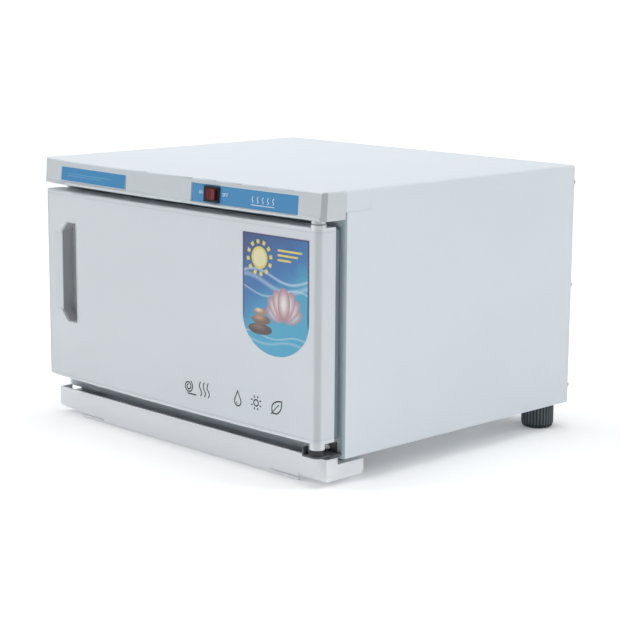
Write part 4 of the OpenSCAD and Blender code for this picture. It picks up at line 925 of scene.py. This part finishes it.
def polished(points, steps=6):
    # rounds a line of points by sampling a Catmull-Rom curve through them
    made = []
    last = len(points) - 1
    for k in range(last):
        p0, p1, p2, p3 = (Vector(points[max(0, min(last, k + d))]) for d in (-1, 0, 1, 2))
        for step in range(steps):
            t = step / steps
            made.append(0.5 * (2 * p1 + (p2 - p0) * t + (2 * p0 - 5 * p1 + 4 * p2 - p3) * t * t
                               + (3 * p1 - p0 - 3 * p2 + p3) * t * t * t))
    return made + [Vector(points[-1])]


def ringLine(x, z, r, steps=28, start=0.0, sweep=math.tau):
    angles = (start + sweep * k / steps for k in range(steps + 1))
    return [Vector((x + r * math.cos(a), z + r * math.sin(a))) for a in angles]


def inkLine(shape, line, wide, surface, out=inkSkin["out"], thick=inkSkin["thick"]):
    # a stroke of even width, laid on a face as a thin closed skin, for print, painted highlights and the
    # door's bead
    closed = (line[0] - line[-1]).length < 1e-6
    line = line[:-1] if closed else line
    last = len(line) - 1
    rings = []
    for k, p in enumerate(line):
        before = line[k - 1] if k or closed else p
        after = line[(k + 1) % len(line)] if k < last or closed else p
        a, b = p - before, after - p
        a = a.normalized() if a.length else b.normalized()
        b = b.normalized() if b.length else a
        side = Vector((-(a + b).y, (a + b).x)).normalized()
        side *= wide / 2 / max(0.5, abs(side.dot(Vector((-a.y, a.x)))))
        left, right = p + side, p - side
        rings.append([shape.verts.new(surface(q.x, q.y, o)) for q, o in
                      ((left, out), (right, out), (right, out + thick), (left, out + thick))])
    tube(shape, rings, closed)


def printInk(name, tint, rough=0.36):
    ink = Finish(name, tint, rough)
    grain = ink.noise(inkSkin["grain"], 2, 0.6)
    ink.feed({"Base Color": ink.mix(grain.ease(0.45, 0.75) * 0.25, tint, shade(tint, 1.3)),
              "Roughness": rough + (grain - 0.5) * 0.16})
    ink.relief(grain, 0.008 * mm, 0.4)
    return ink.material


# pale ink for the words and figures; the same colour is the painted highlight along the label edges
paleInkAndHighlight = printInk("paleInkAndHighlight", (0.74, 0.82, 0.88))
softInk = printInk("softInk", (0.20, 0.46, 0.66))
blackInk = printInk("blackInk", (0.022, 0.024, 0.028), 0.42)
onDoor = frontOf("door_shell")
onHeader = frontOf("header_fascia")
onRightLabel = frontOf("label_right")

# the decal's film with its half-oval foot, laid on the door's face in place of the plain CAD film;
# crowd: how much closer its rows lie near the foot
decal = {"foot": 38.0, "rows": 72, "columns": 36, "low": 0.03, "high": 0.24, "inset": 0.02, "crowd": 0.6}


def decalForm(shape):
    low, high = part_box("door_decal")
    x0, x1, z0, z1 = low.x / mm, high.x / mm, low.z / mm, high.z / mm
    mid, half = (x0 + x1) / 2, (x1 - x0) / 2
    foot, inset, crowd = decal["foot"], decal["inset"], decal["crowd"]
    rows, columns = decal["rows"], decal["columns"]

    def row(r, out):
        t = r / rows
        z = z0 + (z1 - z0) * (t * t * crowd + t * (1 - crowd)) + inset
        reach = half * math.sqrt(max(0.0, 1 - max(0.0, (z0 + foot - z) / foot) ** 2)) - inset
        places = (mid + reach * (2 * c / columns - 1) for c in range(columns + 1))
        return [shape.verts.new(onDoor(x, min(z, z1 - inset), out)) for x in places]

    back, front = ([row(r, out) for r in range(rows + 1)] for out in (decal["low"], decal["high"]))
    for sheet in (back, front):
        for r in range(rows):
            for c in range(columns):
                shape.faces.new((sheet[r][c], sheet[r][c + 1], sheet[r + 1][c + 1], sheet[r + 1][c]))
    edge = [(0, c) for c in range(columns)] + [(r, columns) for r in range(rows)]
    edge += [(rows, c) for c in range(columns, 0, -1)] + [(r, 0) for r in range(rows, 0, -1)]
    for (r, c), (p, q) in zip(edge, edge[1:] + edge[:1]):
        shape.faces.new((back[r][c], back[p][q], front[p][q], front[r][c]))


meshPiece("doorDecal", decalForm, decalPrint, "door", ("door_decal",))

letters = {  # strokes in shares of a letter's width and height
    "O": [[(0.5, 0), (0.12, 0.12), (0, 0.5), (0.12, 0.88), (0.5, 1),
           (0.88, 0.88), (1, 0.5), (0.88, 0.12), (0.5, 0)]],
    "N": [[(0, 0), (0, 1), (1, 0), (1, 1)]],
    "F": [[(0, 0), (0, 1), (0.9, 1)], [(0, 0.52), (0.72, 0.52)]],
}
switchMark = {
    "z": 279.1, "high": 3.1, "wide": 2.0, "stroke": 0.5, "pitch": 2.95,
    "words": [("ON", 48.7), ("OFF", 84.1)],
}


def switchWords(shape):
    m = switchMark
    for word, start in m["words"]:
        for k, letter in enumerate(word):
            left = start + k * m["pitch"]
            for line in letters[letter]:
                places = [Vector((left + x * m["wide"], m["z"] + z * m["high"])) for x, z in line]
                inkLine(shape, places, m["stroke"], onRightLabel)


meshPiece("switchWords", switchWords, paleInkAndHighlight, "cabinet")

# the left label's film, laid on the header's face over its pocket, a little larger than the plain CAD film
leftFilm = {"x": (-190.0, -70.7), "z": (271.9, 287.8), "margin": 1.5, "low": 0.02, "high": 0.16, "steps": 48}


def overPocket(x, z, out):
    # the header's face carried across the pocket, read just below and just above the film
    low, high = leftFilm["z"][0] - leftFilm["margin"], leftFilm["z"][1] + leftFilm["margin"]
    return onHeader(x, low, out).lerp(onHeader(x, high, out), (z - low) / (high - low))


def onLeftLabel(x, z, out):
    return overPocket(x, z, out + leftFilm["high"])


def leftLabel(shape):
    f = leftFilm
    (x0, x1), (z0, z1) = f["x"], f["z"]
    section = ((z0, f["low"]), (z1, f["low"]), (z1, f["high"]), (z0, f["high"]))
    places = (x0 + (x1 - x0) * k / f["steps"] for k in range(f["steps"] + 1))
    tube(shape, [[shape.verts.new(overPocket(x, z, out)) for z, out in section] for x in places])


meshPiece("leftLabel", leftLabel, labelPrint, "cabinet", ("label_left",))

# painted highlight: a pale line along the edge of both labels, standing for the lit edge of their pockets
edgeLine = {"inset": 0.25, "stroke": 0.45, "steps": 40}
rightLow, rightHigh = (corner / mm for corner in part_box("label_right"))


def labelEdge(xEnds, zEnds, surface):
    def make(shape):
        cut, steps = edgeLine["inset"], edgeLine["steps"]
        x0, x1, z0, z1 = xEnds[0] + cut, xEnds[1] - cut, zEnds[0] + cut, zEnds[1] - cut
        low, high = straight((x0, z0), (x1, z0), steps), straight((x1, z1), (x0, z1), steps)
        inkLine(shape, low + high + low[:1], edgeLine["stroke"], surface)
    return make


for name, xEnds, zEnds, surface in (
        ("labelEdgeLeft", leftFilm["x"], leftFilm["z"], onLeftLabel),
        ("labelEdgeRight", (rightLow.x, rightHigh.x), (rightLow.z, rightHigh.z), onRightLabel)):
    meshPiece(name, labelEdge(xEnds, zEnds, surface), paleInkAndHighlight, "cabinet")

# small figures on the right label: five steam lines over a bar
steamMark = {
    "x": 127.0, "z": 276.6, "step": 7.2, "count": 5, "high": 6.4, "stroke": 0.95,
    "wave": [(0, 0), (1.1, 0.25), (-0.4, 0.6), (0.8, 1)],  # sideways in mm, up in shares of the height
    "bar": {"left": 1.5, "right": 2.3, "drop": 2.1, "stroke": 0.8},  # its stroke as a share of theirs
}


def labelFigures(shape):
    m, bar = steamMark, steamMark["bar"]
    for k in range(m["count"]):
        x = m["x"] + k * m["step"]
        line = polished([(x + aside, m["z"] + up * m["high"]) for aside, up in m["wave"]])
        inkLine(shape, line, m["stroke"], onRightLabel)
    end = m["x"] + (m["count"] - 1) * m["step"] + bar["right"]
    z = m["z"] - bar["drop"]
    inkLine(shape, straight((m["x"] - bar["left"], z), (end, z)), m["stroke"] * bar["stroke"], onRightLabel)


meshPiece("labelFigures", labelFigures, paleInkAndHighlight, "cabinet")

# two fine lines on the left label: height and right end of each
leftMark = {"x": -176.0, "stroke": 0.5, "steps": 16, "lines": [(280.4, -96.0), (278.2, -114.0)]}


def leftLines(shape):
    for z, end in leftMark["lines"]:
        line = straight((leftMark["x"], z), (end, z), leftMark["steps"])
        inkLine(shape, line, leftMark["stroke"], onLeftLabel)


meshPiece("leftLines", leftLines, softInk, "cabinet")

# the moulded border of the door's panel: a low bead that ends at the hinge column
bead = {"wide": 1.1, "proud": 0.28, "deep": 0.12, "end": 203.0, "turn": 3.0, "turnSteps": 8, "steps": 48}


def panelBead(shape):
    inset = doorRim["wide"] / mm
    x0, z0, z1 = doorRim["left"] / mm + inset, doorRim["low"] / mm + inset, doorRim["top"] / mm - inset
    r, steps = bead["turn"], bead["turnSteps"]
    line = straight((bead["end"], z1), (x0 + r, z1), bead["steps"])
    line += ringLine(x0 + r, z1 - r, r, steps, math.pi / 2, math.pi / 2)[1:]
    line += ringLine(x0 + r, z0 + r, r, steps, math.pi, math.pi / 2)
    line += straight((x0 + r, z0), (bead["end"], z0), bead["steps"])[1:]
    inkLine(shape, line, bead["wide"], onDoor, -bead["deep"], bead["deep"] + bead["proud"])


meshPiece("panelBead", panelBead, doorPlastic, "door")

# a row of black line figures low on the door: rolled towel, steam, drop, sun, leaf; a figure's own
# sizes are shares of its radius, apart from those in mm
doorMark = {
    "low": 66.6, "high": 17.0, "stroke": 1.5, "fine": 0.7,
    "places": {"roll": 31.0, "steam": 56.0, "drop": 107.0, "sun": 134.0, "leaf": 163.0},
    "roll": {"inner": 0.22, "turns": 2.25, "steps": 60, "drawn": 52, "tailStart": -0.2, "tailMm": 12.2},
    "steam": {"stepMm": 6.0, "steps": 8, "wave": [(0, -1), (1.7, -0.45), (-1.7, 0.3), (0, 1)]},  # mm, share
    "drop": {"down": 0.38, "r": 0.62, "shine": 0.32},
    "sun": {"r": 0.42, "rays": 8, "from": 0.68, "to": 1.02},
    "leaf": {
        "steps": 8,
        "left": [(-0.75, -0.8), (-0.75, 0.15), (-0.05, 0.75), (1, 0.95)],
        "right": [(-0.75, -0.8), (0.2, -0.75), (0.85, -0.05), (1, 0.95)],
        "vein": [(-1, -1), (-0.2, -0.2), (0.5, 0.45)],
    },
}


def doorFigures(shape):
    m = doorMark
    places, stroke = m["places"], m["stroke"]
    mid, r = m["low"] + m["high"] / 2, m["high"] / 2 - stroke / 2

    def draw(line, share=1.0):
        inkLine(shape, line, stroke * share, onDoor)

    # rolled towel: a spiral with a flat tail
    roll, x, foot = m["roll"], places["roll"], m["low"] + stroke / 2
    spiral = []
    for k in range(roll["drawn"]):
        t = k / roll["steps"]
        reach = r * (roll["inner"] + (1 - roll["inner"]) * t)
        turn = (t * roll["turns"] - 0.75) * math.tau
        spiral.append(Vector((x + reach * math.cos(turn), mid + reach * math.sin(turn))))
    draw(spiral)
    draw(straight((x + roll["tailStart"] * r, foot), (x + roll["tailMm"], foot)))

    steam = m["steam"]
    for k in (-1, 0, 1):
        x = places["steam"] + k * steam["stepMm"]
        draw(polished([(x + aside, mid + r * up) for aside, up in steam["wave"]], steam["steps"]))

    drop, x = m["drop"], places["drop"]
    tip, heart = Vector((x, mid + r)), mid - r * drop["down"]
    draw([tip, *ringLine(x, heart, r * drop["r"], 30, math.radians(152), math.radians(236)), tip])
    draw(ringLine(x, heart, r * drop["shine"], 12, math.radians(200), math.radians(70)), m["fine"])

    sun, middle = m["sun"], Vector((places["sun"], mid))
    draw(ringLine(*middle, r * sun["r"]))
    for k in range(sun["rays"]):
        turn = math.tau * (k + 0.5) / sun["rays"]
        way = Vector((math.cos(turn), math.sin(turn))) * r
        draw([middle + way * sun["from"], middle + way * sun["to"]])

    leaf = m["leaf"]
    for part, share in (("left", 1.0), ("right", 1.0), ("vein", m["fine"])):
        points = [(places["leaf"] + r * x, mid + r * z) for x, z in leaf[part]]
        draw(polished(points, leaf["steps"]), share)


meshPiece("doorFigures", doorFigures, blackInk, "door")
print("stage: marks")


print("stage: done")
